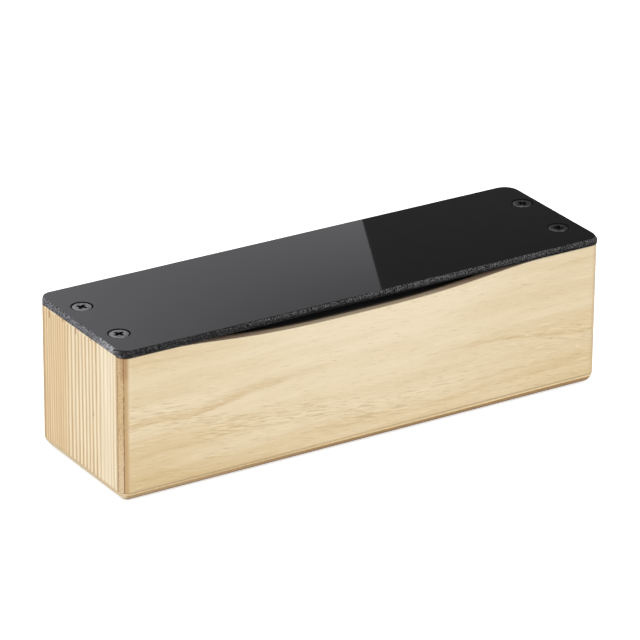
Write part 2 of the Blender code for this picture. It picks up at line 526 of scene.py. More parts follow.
class Finish:
    """Base of the finishes: a Principled material whose patterns are laid out in millimetres.

    Roughness is a range. Relief is a distance and a strength. Plain values go straight to the named sockets.
    """

    name: str
    roughness: Pair
    relief: Pair | None = None
    plain: Settings = ()

    def build(self, effects: Effects) -> Material:
        """Make the material.

        Args:
            effects: The shared surface effects.

        Returns:
            The finished material.
        """
        material, graph = blank_material(self.name)
        shader = graph.tree.nodes["Principled BSDF"].inputs
        coordinates = graph.node("ShaderNodeTexCoord").outputs
        place = graph.stretch(coordinates["Object"], (MM, MM, MM))
        colour, wear, height = self.lay_out(Surface(graph, effects, place, coordinates["Normal"]))
        graph.feed(shader["Base Color"], colour)
        graph.feed(shader["Roughness"], graph.span(wear, *self.roughness))
        for label, value in self.plain:
            graph.feed(shader[label], value)
        if self.relief:
            distance, strength = self.relief
            bump = graph.node("ShaderNodeBump", {
                "Height": height, "Strength": strength, "Distance": distance})
            graph.feed(shader["Normal"], bump.outputs["Normal"])
        return material

    def lay_out(self, surface: Surface) -> Look:
        """Lay the nodes out.

        Args:
            surface: What they lie on.

        Returns:
            The colour, and what the roughness and the relief follow.
        """
        raise NotImplementedError


@dataclass(frozen=True)
class Streak:
    """A dark streak that wanders along a veneer, hard on its lower side and soft above.

    Each place on its path is (along the box, height, strength), in millimetres and from 0 to 1.
    """

    path: tuple[Triple, ...]
    below: float = 0.7
    above: float = 3.2
    lower_edge: float = 0.4

    def mask(self, graph: Graph, along: Value, height: Value) -> Socket:
        """Give the streak's strength over the face.

        Args:
            graph: The material's graph.
            along: Place along the box in millimetres.
            height: Height in millimetres.

        Returns:
            The mask.
        """
        share = graph.math("MULTIPLY_ADD", along, 1.0 / FACE_LENGTH, HALFWAY)
        centre = graph.curve(share, [(x / FACE_LENGTH + HALFWAY, z / FACE_HEIGHT) for x, z, _ in self.path])
        strength = graph.curve(share, [(x / FACE_LENGTH + HALFWAY, level) for x, _, level in self.path])
        offset = graph.minus(height, graph.product(centre, FACE_HEIGHT))
        return graph.product(
            graph.rise(offset, -self.below, self.below * self.lower_edge),
            graph.rise(offset, self.above, 0.0),
            strength,
        )


FRONT_STREAKS = (
    Streak(((-100, 28.9, 0.8), (-88, 28.2, 0.85), (-80, 27.6, 0.95), (-73, 27.4, 1.0), (-66, 27.9, 1.0),
            (-57, 29.4, 0.95), (-46, 31.3, 0.9), (-33, 32.4, 0.65), (-20, 32.6, 0.35), (-8, 33.0, 0.0),
            (100, 33.0, 0.0)), below=1.3, above=5.4),
    Streak(((-100, 27.0, 0.0), (20, 27.0, 0.0), (27, 27.2, 0.35), (50, 27.2, 0.5), (60, 26.6, 0.85),
            (67, 25.3, 0.95), (80, 23.4, 0.8), (90, 22.2, 0.75), (100, 21.4, 0.6)), below=0.5, above=2.0),
    Streak(((-100, 51.2, 0.5), (-86, 51.4, 0.5), (-72, 50.2, 0.3), (-60, 49.8, 0.35), (-45, 50.0, 0.0),
            (100, 50.0, 0.0)), below=0.5, above=1.4),
    Streak(((-100, 22.0, 0.2), (-90, 22.4, 0.45), (-75, 22.6, 0.4), (-60, 22.0, 0.3), (-40, 21.6, 0.2),
            (-25, 22.0, 0.0), (100, 22.0, 0.0)), above=1.8),
    Streak(((-100, 15.6, 0.4), (-85, 16.6, 0.5), (-70, 16.4, 0.45), (-55, 16.8, 0.35), (-35, 15.4, 0.5),
            (-20, 14.4, 0.5), (-5, 14.0, 0.2), (8, 14.0, 0.0), (100, 14.0, 0.0)), above=2.4),
    Streak(((-100, 7.0, 0.3), (-85, 7.6, 0.4), (-65, 8.2, 0.3), (-50, 7.8, 0.15), (-30, 8.0, 0.0),
            (100, 8.0, 0.0)), above=2.2),
    Streak(((-100, 12.0, 0.0), (30, 12.2, 0.0), (45, 12.8, 0.4), (62, 13.2, 0.55), (78, 13.2, 0.5),
            (88, 12.6, 0.2), (100, 12.0, 0.1)), below=0.5, above=1.6),
    Streak(((-100, 8.0, 0.0), (15, 7.6, 0.0), (28, 7.6, 0.45), (40, 8.4, 0.5), (50, 9.6, 0.35),
            (75, 9.8, 0.45), (100, 9.6, 0.4)), above=2.0),
    Streak(((-100, 50.0, 0.0), (60, 48.0, 0.0), (75, 49.4, 0.2), (84, 50.4, 0.5), (100, 50.8, 0.45)),
           below=0.4, above=1.3),
    Streak(((-100, 45.0, 0.0), (60, 45.2, 0.0), (64, 45.4, 0.6), (70, 45.2, 0.6), (74, 45.0, 0.0),
            (100, 45.0, 0.0)), below=0.35, above=0.8),
    Streak(((-100, 46.0, 0.0), (40, 46.0, 0.0), (60, 45.6, 0.25), (84, 45.6, 0.36), (100, 45.6, 0.30)),
           below=3.0, above=8.0),
)
REAR_STREAKS = (
    Streak(((-100, 15.0, 0.5), (-40, 18.0, 0.9), (10, 22.5, 0.7), (60, 21.0, 0.4), (100, 19.0, 0.5))),
    Streak(((-100, 44.0, 0.0), (-60, 41.0, 0.5), (0, 40.0, 0.8), (50, 42.5, 0.5), (100, 44.0, 0.2)),
           above=2.4),
    Streak(((-100, 33.0, 0.4), (-50, 31.5, 0.3), (0, 30.5, 0.0), (50, 31.0, 0.4), (100, 32.0, 0.5)),
           above=1.6),
    Streak(((-100, 8.0, 0.2), (-30, 9.0, 0.5), (30, 8.4, 0.4), (100, 9.4, 0.3)), above=2.0),
)


@dataclass(frozen=True)
class PlywoodFinish(Finish):
    """Pale three-ply side panel: a figured face veneer, and its plies wherever an edge cuts them."""

    name: str
    streaks: tuple[Streak, ...]
    pale: Colour = srgb(239, 224, 194)
    tan: Colour = srgb(213, 188, 141)
    fleck: Colour = srgb(166, 130, 78)
    glint: Colour = srgb(248, 234, 204)
    streak: Colour = srgb(200, 170, 118)
    cut_face: Colour = srgb(190, 158, 112)
    # Painted highlight: the colour of the faces that look up, above all the top arris.
    worn: Colour = srgb(240, 224, 192)
    core: Colour = srgb(213, 183, 137)
    pore: Colour = srgb(158, 122, 76)
    cut_core: Colour = srgb(226, 206, 176)
    glue: Colour = srgb(132, 98, 60)
    # A dark brown for painted shade and shadow: under the plate, along its edge and along the seam with the
    # base.
    deep_shade: Colour = srgb(58, 42, 30)
    shade: Colour = srgb(130, 54, 32)
    smear: Colour = srgb(138, 92, 46)
    half_width: float = ShakerSizes.width / 2 * MM
    face_ply: float = 0.92
    core_ply: float = 2.18
    ply_shake: Cloud = Cloud((0.3, 0.3, 0.3), -0.1, 0.1)
    glue_line: float = 0.21
    glue_breaks: Cloud = Cloud((1.5, 1.5, 0.7), 0.26, 0.50, detail=3.0, share=0.95)
    grain_rise: float = 0.03
    grain_waver: Cloud = Cloud((0.02, 0.1, 0.05), 0.0, 6.0)
    streak_wander: Cloud = Cloud((0.09, 0.0, 0.5), -1.2, 1.2, detail=5.0)
    streak_patches: Cloud = Cloud((0.10, 0.1, 0.5), 0.1, 1.6, detail=4.0)
    streak_share: float = 0.64
    flecked: Streak = Streak(
        ((-100, 31, 0.9), (-90, 30, 1.0), (-70, 23, 1.0), (-50, 18, 0.9), (-30, 17, 1.0), (-10, 13, 0.9),
         (10, 10, 0.8), (30, 13, 0.6), (50, 20, 0.4), (70, 23, 0.6), (90, 22, 0.45), (100, 22, 0.45)),
        below=9.0, above=11.0)
    fleck_slant: float = 0.15
    crowding: float = 0.45
    crowded_low: float = 0.18
    crowded_streaks: float = 0.30
    crowded_flecks: float = 0.85
    low_down: Fade = Fade(34.0, 10.0)
    bands: Fade = Fade(0.3, 0.7)
    band_tone: Pair = (-0.04, 0.36)
    low_tone: float = 0.26
    foot_tone: Fade = Fade(13.0, 4.0, 0.14)
    end_tone: Fade = Fade(25.0, 105.0, 0.28)
    fleck_share: Pair = (0.28, 0.40)
    glint_share: Pair = (0.40, 0.50)
    fibre_share: Pair = (-0.05, 0.26)
    eased: Fade = Fade(0.12, 0.5)
    low_edge: Fade = Fade(4.4, 3.7, 0.5)
    rounded: Fade = Fade(0.08, 0.48)
    rounded_left: Fade = Fade(60.0, -60.0)
    rounded_share: Pair = (0.45, 1.0)
    pores: Cloud = Cloud((2.6, 2.6, 1.9), 0.40, 0.66, share=0.75)
    core_foot: Fade = Fade(34.0, 6.0, 0.45)
    upward: Fade = Fade(0.3, 0.8)
    slot_middle: float = ShakerSizes.slot_offset * MM
    slot_ends: Fade = Fade(26.0, 50.0)
    shaded: Fade = Fade(0.1, 0.9)
    shade_share: Pair = (0.10, 0.36)
    narrowed: Fade = Fade(22.0, 46.0, -0.65)
    slot_shadow: Fade = Fade(2.8, 3.1, 0.88)
    plate_shadow_line: Fade = Fade(54.70, 54.92, 0.8)
    plate_shadow_left: Fade = Fade(-46.0, -60.0)
    seam_shade: Fade = Fade(4.40, 4.10, 0.20)
    seam_shade_right: Fade = Fade(-20.0, 60.0)
    smeared: Fade = Fade(45.5, 49.0, 0.36)
    smeared_left: Fade = Fade(0.0, -60.0)
    smeared_rim: Fade = Fade(0.95, 0.80)
    roughness: Pair = (0.46, 0.62)
    fleck_sink: float = 0.4
    relief: Pair = (0.00003, 0.5)

    def lay_out(self, surface: Surface) -> Look:
        """Lay the nodes out.

        Args:
            surface: What they lie on.

        Returns:
            The colour, and what the roughness and the relief follow.
        """
        graph, place = surface.graph, surface.place
        along, across, height = graph.split(place)
        face_x, _, face_z = surface.facing()
        lean = graph.math("MULTIPLY_ADD", along, -self.grain_rise, height)
        grain = graph.join(along, across, graph.total(lean, self.grain_waver.swing(graph, place)))
        low_down = self.low_down.mask(graph, height)
        streaked = self.streaked(graph, place)
        flecked = self.flecked.mask(graph, along, height)
        crowding = graph.total(
            self.crowding, graph.product(low_down, self.crowded_low),
            graph.product(streaked, self.crowded_streaks), graph.product(flecked, self.crowded_flecks))
        wood = surface.wood(grain, crowding, self.fleck_slant)

        tone = graph.total(
            graph.span(self.bands.mask(graph, wood["Bands"]), *self.band_tone),
            self.end_tone.mask(graph, graph.math("ABSOLUTE", along)),
            graph.product(low_down, self.low_tone),
            self.foot_tone.mask(graph, height),
        )
        rounded = self.rounded.mask(graph, face_x)
        towards_left = graph.span(self.rounded_left.mask(graph, along), *self.rounded_share)
        face = graph.coats(
            self.pale,
            (tone, self.tan),
            (graph.product(streaked, self.streak_share), self.streak),
            (graph.product(wood["Flecks"], graph.span(flecked, *self.fleck_share)), self.fleck),
            (graph.product(wood["Glints"], graph.span(flecked, *self.glint_share)), self.glint),
            (graph.span(wood["Fibre"], *self.fibre_share), self.streak),
            # Painted highlight where the face looks up, above all along the top arris.
            (self.eased.mask(graph, face_z), self.worn),
            (self.low_edge.mask(graph, height), self.cut_face),
            (graph.product(rounded, towards_left), self.cut_face),
        )

        upward = self.upward.mask(graph, face_z)
        core = graph.coats(
            self.core,
            (self.pores.mask(graph, place), self.pore),
            (self.core_foot.mask(graph, height), self.cut_core),
            # Where the cut core looks up, along the slot's floor under the plate, it is paler: partly the cut
            # ply's own colour, partly painted light.
            (upward, self.cut_core),
        )
        depth = graph.minus(self.half_width, graph.math("ABSOLUTE", across))
        plies = graph.group(surface.effects.ply, {
            "Depth": depth, "Face": self.face_ply, "Core": self.core_ply, "Glue": self.glue_line,
            "Waver": self.ply_shake.swing(graph, place),
        }).outputs
        from_middle = graph.math("ABSOLUTE", graph.minus(along, self.slot_middle))
        slot_ends = graph.span(self.slot_ends.mask(graph, from_middle), *self.shade_share)
        drawn_in = graph.total(self.narrowed.mask(graph, from_middle), depth)
        # Painted shadow: a thin dark line along the top edge where the plate's left end sits on the wood.
        plate_shadow_line = graph.product(self.plate_shadow_line.mask(graph, height), self.plate_shadow_left.mask(graph, along))
        # Painted shade: a thin dark band along the seam with the base, towards the right.
        seam_shade = graph.product(self.seam_shade.mask(graph, height), self.seam_shade_right.mask(graph, along))
        smeared = graph.product(
            self.smeared.mask(graph, height), self.smeared_left.mask(graph, along),
            self.smeared_rim.mask(graph, face_x), rounded)
        colour = graph.coats(
            face,
            (plies["Core"], core),
            (graph.product(plies["Glue"], self.glue_breaks.mask(graph, place)), self.glue),
            (graph.product(self.shaded.mask(graph, depth), upward, slot_ends), self.shade),
            # Painted shadow of the plate, dark over the inner part of the slot's floor.
            (graph.product(self.slot_shadow.mask(graph, drawn_in), upward), self.deep_shade),
            (plate_shadow_line, self.deep_shade),
            (seam_shade, self.deep_shade),
            (smeared, self.smear),
        )
        relief = graph.minus(wood["Fibre"], graph.product(wood["Flecks"], self.fleck_sink))
        return colour, wood["Fibre"], relief

    def streaked(self, graph: Graph, place: Value) -> Socket:
        """Give one patchy mask for all the veneer's streaks.

        Args:
            graph: The material's graph.
            place: Place on the panel in millimetres.

        Returns:
            The mask.
        """
        along, _, height = graph.split(place)
        wandering = graph.total(height, self.streak_wander.swing(graph, place))
        whole = self.streaks[0].mask(graph, along, wandering)
        for streak in self.streaks[1:]:
            whole = graph.math("MAXIMUM", whole, streak.mask(graph, along, wandering))
        return graph.math("MULTIPLY", whole, self.streak_patches.swing(graph, place), clamp=True)


@dataclass(frozen=True)
class BasePlyFinish(Finish):
    """Three-ply base board, its plies lying flat.

    Pairs of shares hold for the long sides and the ends, or for the left and the right of the long sides.
    """

    name: str = "base_plywood"
    pale: Colour = srgb(226, 203, 158)
    tan: Colour = srgb(206, 178, 130)
    fleck: Colour = srgb(170, 138, 92)
    pale_right: Colour = srgb(250, 228, 184)
    cut_face: Colour = srgb(236, 214, 176)
    core: Colour = srgb(243, 224, 188)
    cut_core: Colour = srgb(172, 136, 82)
    dash: Colour = srgb(126, 92, 48)
    glue: Colour = srgb(124, 90, 54)
    # A dark brown for painted shade along the seam and at the foot, and for the ends' darker tone.
    shade_and_tone_brown: Colour = srgb(92, 64, 32)
    face_ply: float = 0.85
    core_ply: float = 1.90
    ply_lift: Fade = Fade(35.0, 75.0, -0.2)
    glue_line: float = 0.09
    glue_share: float = 0.35
    crowding: float = 0.6
    bands: Fade = Fade(0.3, 0.75)
    fleck_share: float = 0.4
    paling_right: Fade = Fade(-60.0, 60.0, 0.55)
    face_end: Fade = Fade(0.35, 0.85)
    dashes: Cloud = Cloud((0.75, 0.75, 2.4), 0.46, 0.64, detail=3.0, share=0.5)
    faded: Fade = Fade(0.0, -80.0, 0.2)
    core_streaks: Cloud = Cloud((1.2, 0.12, 2.2), 0.42, 0.66, share=0.5)
    core_end: Fade = Fade(0.25, 0.75)
    end_on: Fade = Fade(0.5, 0.9)
    to_right: Fade = Fade(-95.0, 20.0)
    seam: Fade = Fade(3.36, 3.54)
    seam_sides: Pair = (0.26, 0.06)
    seam_along: Pair = (1.0, 0.0)
    foot: Fade = Fade(2.3, 0.7)
    foot_sides: Pair = (0.75, 0.55)
    foot_along: Pair = (0.84, 1.0)
    toned: Fade = Fade(3.8, 3.2)
    toned_sides: Pair = (0.04, 0.25)
    roughness: Pair = (0.5, 0.66)
    relief: Pair = (0.00003, 0.6)

    def lay_out(self, surface: Surface) -> Look:
        """Lay the nodes out.

        Args:
            surface: What they lie on.

        Returns:
            The colour, and what the roughness and the relief follow.
        """
        graph, place = surface.graph, surface.place
        along, _, height = graph.split(place)
        face_x, _, _ = surface.facing()
        wood = surface.wood(place, self.crowding)
        face = graph.coats(
            self.pale,
            (self.bands.mask(graph, wood["Bands"]), self.tan),
            (graph.product(wood["Flecks"], self.fleck_share), self.fleck),
            # The face ply grows paler towards the right.
            (self.paling_right.mask(graph, along), self.pale_right),
            (self.face_end.mask(graph, face_x), self.cut_face),
        )
        long_core = graph.mix(self.core_streaks.mask(graph, place), self.core, self.cut_face)
        core = graph.coats(
            self.cut_core,
            (self.dashes.mask(graph, place), self.dash),
            (self.faded.mask(graph, along), self.cut_face),
            (self.core_end.mask(graph, face_x), long_core),
        )
        plies = graph.group(surface.effects.ply, {
            "Depth": graph.total(self.ply_lift.mask(graph, along), height),
            "Face": self.face_ply, "Core": self.core_ply, "Glue": self.glue_line, "Waver": 0.0,
        }).outputs
        end_on = self.end_on.mask(graph, face_x)
        to_right = self.to_right.mask(graph, along)
        # Painted shade along the seam under the sides, strongest at the left; painted shade at the foot, darker
        # towards the underside; and a darker tone, mostly over the ends.
        seam = graph.product(
            self.seam.mask(graph, height), graph.span(end_on, *self.seam_sides),
            graph.span(to_right, *self.seam_along))
        foot = graph.product(
            self.foot.mask(graph, height), graph.span(end_on, *self.foot_sides),
            graph.span(to_right, *self.foot_along))
        toned = graph.product(self.toned.mask(graph, height), graph.span(end_on, *self.toned_sides))
        shade_and_tone = graph.math("MAXIMUM", graph.math("MAXIMUM", seam, foot), toned)
        colour = graph.coats(
            face,
            (plies["Core"], core),
            (graph.product(plies["Glue"], self.glue_share), self.glue),
            (shade_and_tone, self.shade_and_tone_brown),
        )
        return colour, wood["Fibre"], wood["Fibre"]


@dataclass(frozen=True)
class SoftwoodFinish(Finish):
    """Solid softwood block with its growth rings standing upright.

    The ring table gives, for a place across the block in millimetres, how many rings were passed, how
    strongly they show there and how dark the wood is between them.
    """

    name: str = "ringed_softwood"
    rings: tuple[tuple[float, float, float, float], ...] = (
        (-30.0, 26.0, 0.4, 0.0),
        (-24.0, 23.2, 0.60, 0.0),
        (-19.0, 20.8, 0.34, 0.0),
        (-14.0, 18.9, 0.70, 0.06),
        (-11.0, 17.8, 1.0, 0.06),
        (-4.0, 15.0, 0.95, 0.06),
        (3.4, 12.0, 1.0, 0.10),
        (9.0, 9.8, 0.80, 0.42),
        (13.0, 7.6, 0.60, 0.80),
        (19.0, 3.9, 0.72, 0.66),
        (30.0, -2.4, 0.80, 0.74),
    )
    half_span: float = 30.0
    ring_count: float = 32.0
    ring_start: float = 4.0
    ring_sharpness: float = 1.5
    ring_drift: float = 0.011
    ring_sway: Cloud = Cloud((0.03, 0.05, 0.020), -0.9, 0.9)
    fine_sway: Cloud = Cloud((0.1, 0.5, 0.05), -0.3, 0.3)
    uneven: Cloud = Cloud((0.05, 0.7, 0.025), 0.45, 1.55)
    lines: Cloud = Cloud((0.3, 2.4, 0.03), 0.40, 0.68, detail=3.0, share=0.30)
    crowding: float = 0.4
    fibre_share: Pair = (-0.06, 0.26)
    early: Colour = srgb(253, 242, 215)
    early_rear: Colour = srgb(230, 201, 151)
    late: Colour = srgb(196, 160, 106)
    late_rear: Colour = srgb(188, 149, 96)
    # The arris colour is for pale chips along the top edge, partly wear and partly a painted highlight where
    # the arris catches the light.
    arris: Colour = srgb(255, 246, 218)
    resin: Colour = srgb(146, 98, 42)
    end_cut: Colour = srgb(196, 160, 112)
    chips_and_glints: Cloud = Cloud((0.5, 0.75, 0.5), 0.46, 0.62)
    glinting_top: Fade = Fade(53.6, 54.8, 0.7)
    nicks: tuple[Pair, ...] = ((21.6, 51.2), (11.8, 53.4), (2.7, 52.0), (-8.0, 53.6))
    nick_width: Fade = Fade(0.6, 0.2, 0.8)
    nick_rise: float = 1.2
    pocket: Pair = (-9.2, 26.8)
    pocket_width: Fade = Fade(0.7, 0.2, 0.45)
    pocket_height: Fade = Fade(1.3, 0.3)
    cut_across: Fade = Fade(0.4, 0.8)
    roughness: Pair = (0.64, 0.50)
    ring_relief: float = 0.8
    fibre_relief: float = 0.5
    relief: Pair = (0.00004, 0.6)

    def lay_out(self, surface: Surface) -> Look:
        """Lay the nodes out.

        Args:
            surface: What they lie on.

        Returns:
            The colour, and what the roughness and the relief follow.
        """
        graph, place = surface.graph, surface.place
        along, across, height = graph.split(place)
        _, _, face_z = surface.facing()
        wood = surface.wood(graph.join(height, across, along), self.crowding)
        from_left = graph.total(along, FACE_LENGTH / 2)
        spot = graph.total(
            graph.math("MULTIPLY_ADD", from_left, self.ring_drift, across),
            self.ring_sway.swing(graph, place),
            self.fine_sway.swing(graph, place),
        )
        passed, showing, dark = self.ring_curves(
            graph, graph.math("MULTIPLY_ADD", spot, HALFWAY / self.half_span, HALFWAY))
        turn = graph.math("FRACT", graph.product(passed, self.ring_count))
        wave = graph.math("COSINE", graph.product(turn, 2 * math.pi))
        ring = graph.math("POWER", graph.math("MULTIPLY_ADD", wave, 0.5, 0.5), self.ring_sharpness)
        band = graph.math(
            "MULTIPLY", graph.product(ring, showing), self.uneven.swing(graph, place), clamp=True)
        early = graph.mix(dark, self.early, self.early_rear)
        late = graph.mix(dark, self.late, self.late_rear)
        colour = graph.coats(
            early,
            (band, late),
            (self.lines.mask(graph, place), late),
            (graph.span(wood["Fibre"], *self.fibre_share), late),
            # Pale chips under the top edge: partly wear, partly a painted highlight on the arris.
            (graph.product(self.chips_and_glints.mask(graph, place), self.glinting_top.mask(graph, height)), self.arris),
            *((mark, self.resin) for mark in self.marks(graph, across, height)),
            (self.cut_across.mask(graph, face_z), self.end_cut),
        )
        fibre = graph.product(wood["Fibre"], self.fibre_relief)
        return colour, band, graph.math("MULTIPLY_ADD", band, self.ring_relief, fibre)

    def ring_curves(self, graph: Graph, share: Value) -> tuple[Socket, ...]:
        """Read the ring table across the block.

        Args:
            graph: The material's graph.
            share: Place across the block, from 0 to 1.

        Returns:
            Rings passed as a share of their count, how strongly they show, and how dark the wood is.
        """
        places, counts, *levels = zip(*self.rings)
        shares = [place / (2 * self.half_span) + HALFWAY for place in places]
        passed = [(count + self.ring_start) / self.ring_count for count in counts]
        return tuple(graph.curve(share, list(zip(shares, column))) for column in (passed, *levels))

    def marks(self, graph: Graph, across: Value, height: Value) -> list[Socket]:
        """Give masks for the nicks under the top edge and for the pitch pocket.

        Args:
            graph: The material's graph.
            across: Place across the block in millimetres.
            height: Height in millimetres.

        Returns:
            The masks.
        """
        masks = []
        for place, foot in self.nicks:
            aside = graph.math("ABSOLUTE", graph.minus(across, place))
            upper = graph.rise(height, foot, foot + self.nick_rise)
            masks.append(graph.product(self.nick_width.mask(graph, aside), upper))
        aside, above = (
            graph.math("ABSOLUTE", graph.minus(measure, middle))
            for measure, middle in zip((across, height), self.pocket))
        pocket = graph.product(self.pocket_width.mask(graph, aside), self.pocket_height.mask(graph, above))
        masks.append(pocket)
        return masks


@dataclass(frozen=True)
class GlossPlateFinish(Finish):
    """Glossy black sheet with a faint haze."""

    name: str = "gloss_black_sheet"
    black: Colour = (0.0088, 0.0088, 0.0092, 1.0)
    dusty: Colour = (0.0108, 0.0108, 0.0112, 1.0)
    grit: Grit = Grit(1.2, 0.5, 0.8)
    haze: Cloud = Cloud((0.03, 0.05, 0.05), detail=4.0)
    roughness: Pair = (0.010, 0.030)
    plain: Settings = (("IOR", 1.50),)

    def lay_out(self, surface: Surface) -> Look:
        """Lay the nodes out.

        Args:
            surface: What they lie on.

        Returns:
            The colour, and what the roughness and the relief follow.
        """
        graph, place = surface.graph, surface.place
        grit = self.grit.lay(surface, place)
        colour = graph.mix(grit["Ground"], self.black, self.dusty)
        return colour, self.haze.level(graph, place), grit["Speckle"]


@dataclass(frozen=True)
class SawnEdgeFinish(Finish):
    """Matt black sawn edge, scuffed pale along its chamfer and most at the left end, whose end face also
    carries a painted highlight, palest towards the front.

    The wear table gives the share of scuffing along the box, from its left end to its right one. Pairs hold
    for none and all of the change that they go with.
    """

    name: str = "sawn_black_edge"
    black: Colour = (0.0042, 0.0042, 0.0045, 1.0)
    scuffed: Colour = srgb(137, 136, 138)
    # The left end's greys are painted highlight over the scuffing.
    left_end: Colour = srgb(154, 155, 161)
    bright: Colour = srgb(206, 206, 212)
    grit: Grit = Grit(3.6, 0.45, 0.60)
    marks_turned: Triple = (0.25, 0.60, 0.30)
    marks_drawn: Triple = (0.55, 0.9, 1.2)
    wear: tuple[Pair, ...] = (
        (0.0, 0.26), (0.04, 0.23), (0.18, 0.21), (0.30, 0.42), (0.42, 0.46), (0.55, 0.49), (0.7, 0.49),
        (1.0, 0.46))
    left_wear: float = 0.11
    lit_end_share: float = 0.95
    chamfer: Fade = Fade(55.35, 57.1)
    top_line: Fade = Fade(57.42, 57.62)
    line_left: Fade = Fade(15.0, -10.0)
    line_share: Pair = (0.15, 0.75)
    thin_start: Fade = Fade(-58.0, -44.0)
    thin_stop: Fade = Fade(6.0, -14.0)
    thinning: Pair = (1.0, 2.2)
    leftward: Fade = Fade(-15.0, -55.0)
    end_face: Fade = Fade(0.60, 0.86)
    end_side: Fade = Fade(-60.0, -90.0)
    end_corner: Fade = Fade(-25.4, -23.8)
    corner_share: Pair = (0.40, 1.0)
    end_top: Fade = Fade(57.3, 57.9)
    top_share: Pair = (1.0, 0.82)
    end_highlight: Fade = Fade(-8.0, -21.0)
    patches: Fade = Fade(0.3, 0.7)
    patch_share: Pair = (0.72, 1.08)
    left_contrast: Pair = (1.8, 2.0)
    upper_contrast: Pair = (3.2, 1.0)
    end_contrast: Pair = (1.0, 0.8)
    upper_level: Pair = (0.10, 0.60)
    end_level: float = 0.84
    roughness: Pair = (0.62, 0.86)
    relief: Pair = (0.00006, 0.7)
    plain: Settings = (("Specular IOR Level", 0.08),)

    def lay_out(self, surface: Surface) -> Look:
        """Lay the nodes out.

        Args:
            surface: What they lie on.

        Returns:
            The colour, and what the roughness and the relief follow.
        """
        graph, place = surface.graph, surface.place
        along, across, height = graph.split(place)
        face_x, _, _ = surface.facing()
        turned = graph.node("ShaderNodeVectorRotate", {
            "Vector": place, "Rotation": self.marks_turned}, rotation_type="EULER_XYZ")
        grit = self.grit.lay(surface, graph.stretch(turned.outputs[0], self.marks_drawn))

        # Painted shadow line: the scuffing stops in a thin band along the top of the chamfer, most at the left.
        crease_shadow = graph.product(
            self.top_line.mask(graph, height),
            graph.span(self.line_left.mask(graph, along), *self.line_share))
        thin = graph.product(self.thin_start.mask(graph, along), self.thin_stop.mask(graph, along))
        chamfer = graph.math("POWER", self.chamfer.mask(graph, height), graph.span(thin, *self.thinning))
        upper = graph.product(chamfer, graph.minus(1.0, crease_shadow))
        # Painted highlight with the scuffing: the left end face, which looks towards the key lamp, is painted
        # pale.
        lit_end = graph.product(
            self.end_face.mask(graph, face_x), self.end_side.mask(graph, along),
            graph.span(self.end_corner.mask(graph, across), *self.corner_share),
            graph.span(self.end_top.mask(graph, height), *self.top_share))
        leftward = self.leftward.mask(graph, along)

        ramp = graph.curve(graph.math("MULTIPLY_ADD", along, 1.0 / FACE_LENGTH, HALFWAY), self.wear)
        worn = graph.math("MAXIMUM", graph.product(upper, ramp), graph.product(leftward, self.left_wear))
        worn = graph.math("MAXIMUM", worn, graph.product(lit_end, self.lit_end_share))
        patchy = graph.span(self.patches.mask(graph, grit["Ground"]), *self.patch_share)
        contrast = graph.product(
            graph.span(leftward, *self.left_contrast), graph.span(upper, *self.upper_contrast),
            graph.span(lit_end, *self.end_contrast))
        level = graph.math(
            "MAXIMUM", graph.span(upper, *self.upper_level), graph.product(lit_end, self.end_level))
        speckle = graph.minus(grit["Speckle"], HALFWAY)
        fine = graph.math("MULTIPLY_ADD", speckle, contrast, level)
        scuff = graph.math("MULTIPLY", graph.product(fine, patchy), worn, clamp=True)

        # The painted highlight is brightest towards the front of the left end face.
        end_highlight = graph.product(lit_end, self.end_highlight.mask(graph, across))
        pale = graph.coats(self.scuffed, (lit_end, self.left_end), (end_highlight, self.bright))
        return graph.mix(scuff, self.black, pale), grit["Ground"], grit["Speckle"]


@dataclass(frozen=True)
class BlackBoardFinish(Finish):
    """Matt black board with a faint fibre."""

    name: str = "matt_black_board"
    black: Colour = srgb(35, 34, 34)
    lint: Colour = srgb(58, 56, 54)
    crowding: float = 0.7
    fleck_share: float = 0.3
    grit: Grit = Grit(2.2, 0.55, 0.75)
    grit_share: float = 0.4
    roughness: Pair = (0.74, 0.92)
    relief: Pair = (0.00004, 0.5)

    def lay_out(self, surface: Surface) -> Look:
        """Lay the nodes out.

        Args:
            surface: What they lie on.

        Returns:
            The colour, and what the roughness and the relief follow.
        """
        graph, place = surface.graph, surface.place
        wood = surface.wood(place, self.crowding)
        grit = self.grit.lay(surface, place)
        dust = graph.product(grit["Speckle"], self.grit_share)
        lint = graph.math("MULTIPLY_ADD", wood["Flecks"], self.fleck_share, dust)
        return graph.mix(lint, self.black, self.lint), grit["Ground"], wood["Fibre"]


@dataclass(frozen=True)
class SpeckledFinish(Finish):
    """Base of the finishes whose colour and relief follow fine grit alone."""

    name: str
    ground: Colour
    speckle: Colour
    grit: Grit

    def lay_out(self, surface: Surface) -> Look:
        """Lay the nodes out.

        Args:
            surface: What they lie on.

        Returns:
            The colour, and what the roughness and the relief follow.
        """
        grit = self.grit.lay(surface, surface.place)
        colour = surface.graph.mix(grit["Speckle"], self.ground, self.speckle)
        return colour, grit["Ground"], grit["Speckle"]


@dataclass(frozen=True)
class BlackScrewFinish(SpeckledFinish):
    """Satin black-plated steel, worn a little paler in spots."""

    name: str = "black_plated_steel"
    ground: Colour = (0.14, 0.14, 0.142, 1.0)
    speckle: Colour = (0.38, 0.38, 0.385, 1.0)
    grit: Grit = Grit(1.7, 0.44, 0.62)
    roughness: Pair = (0.20, 0.34)
    relief: Pair = (0.00002, 0.5)
    plain: Settings = (("Metallic", 1.0),)


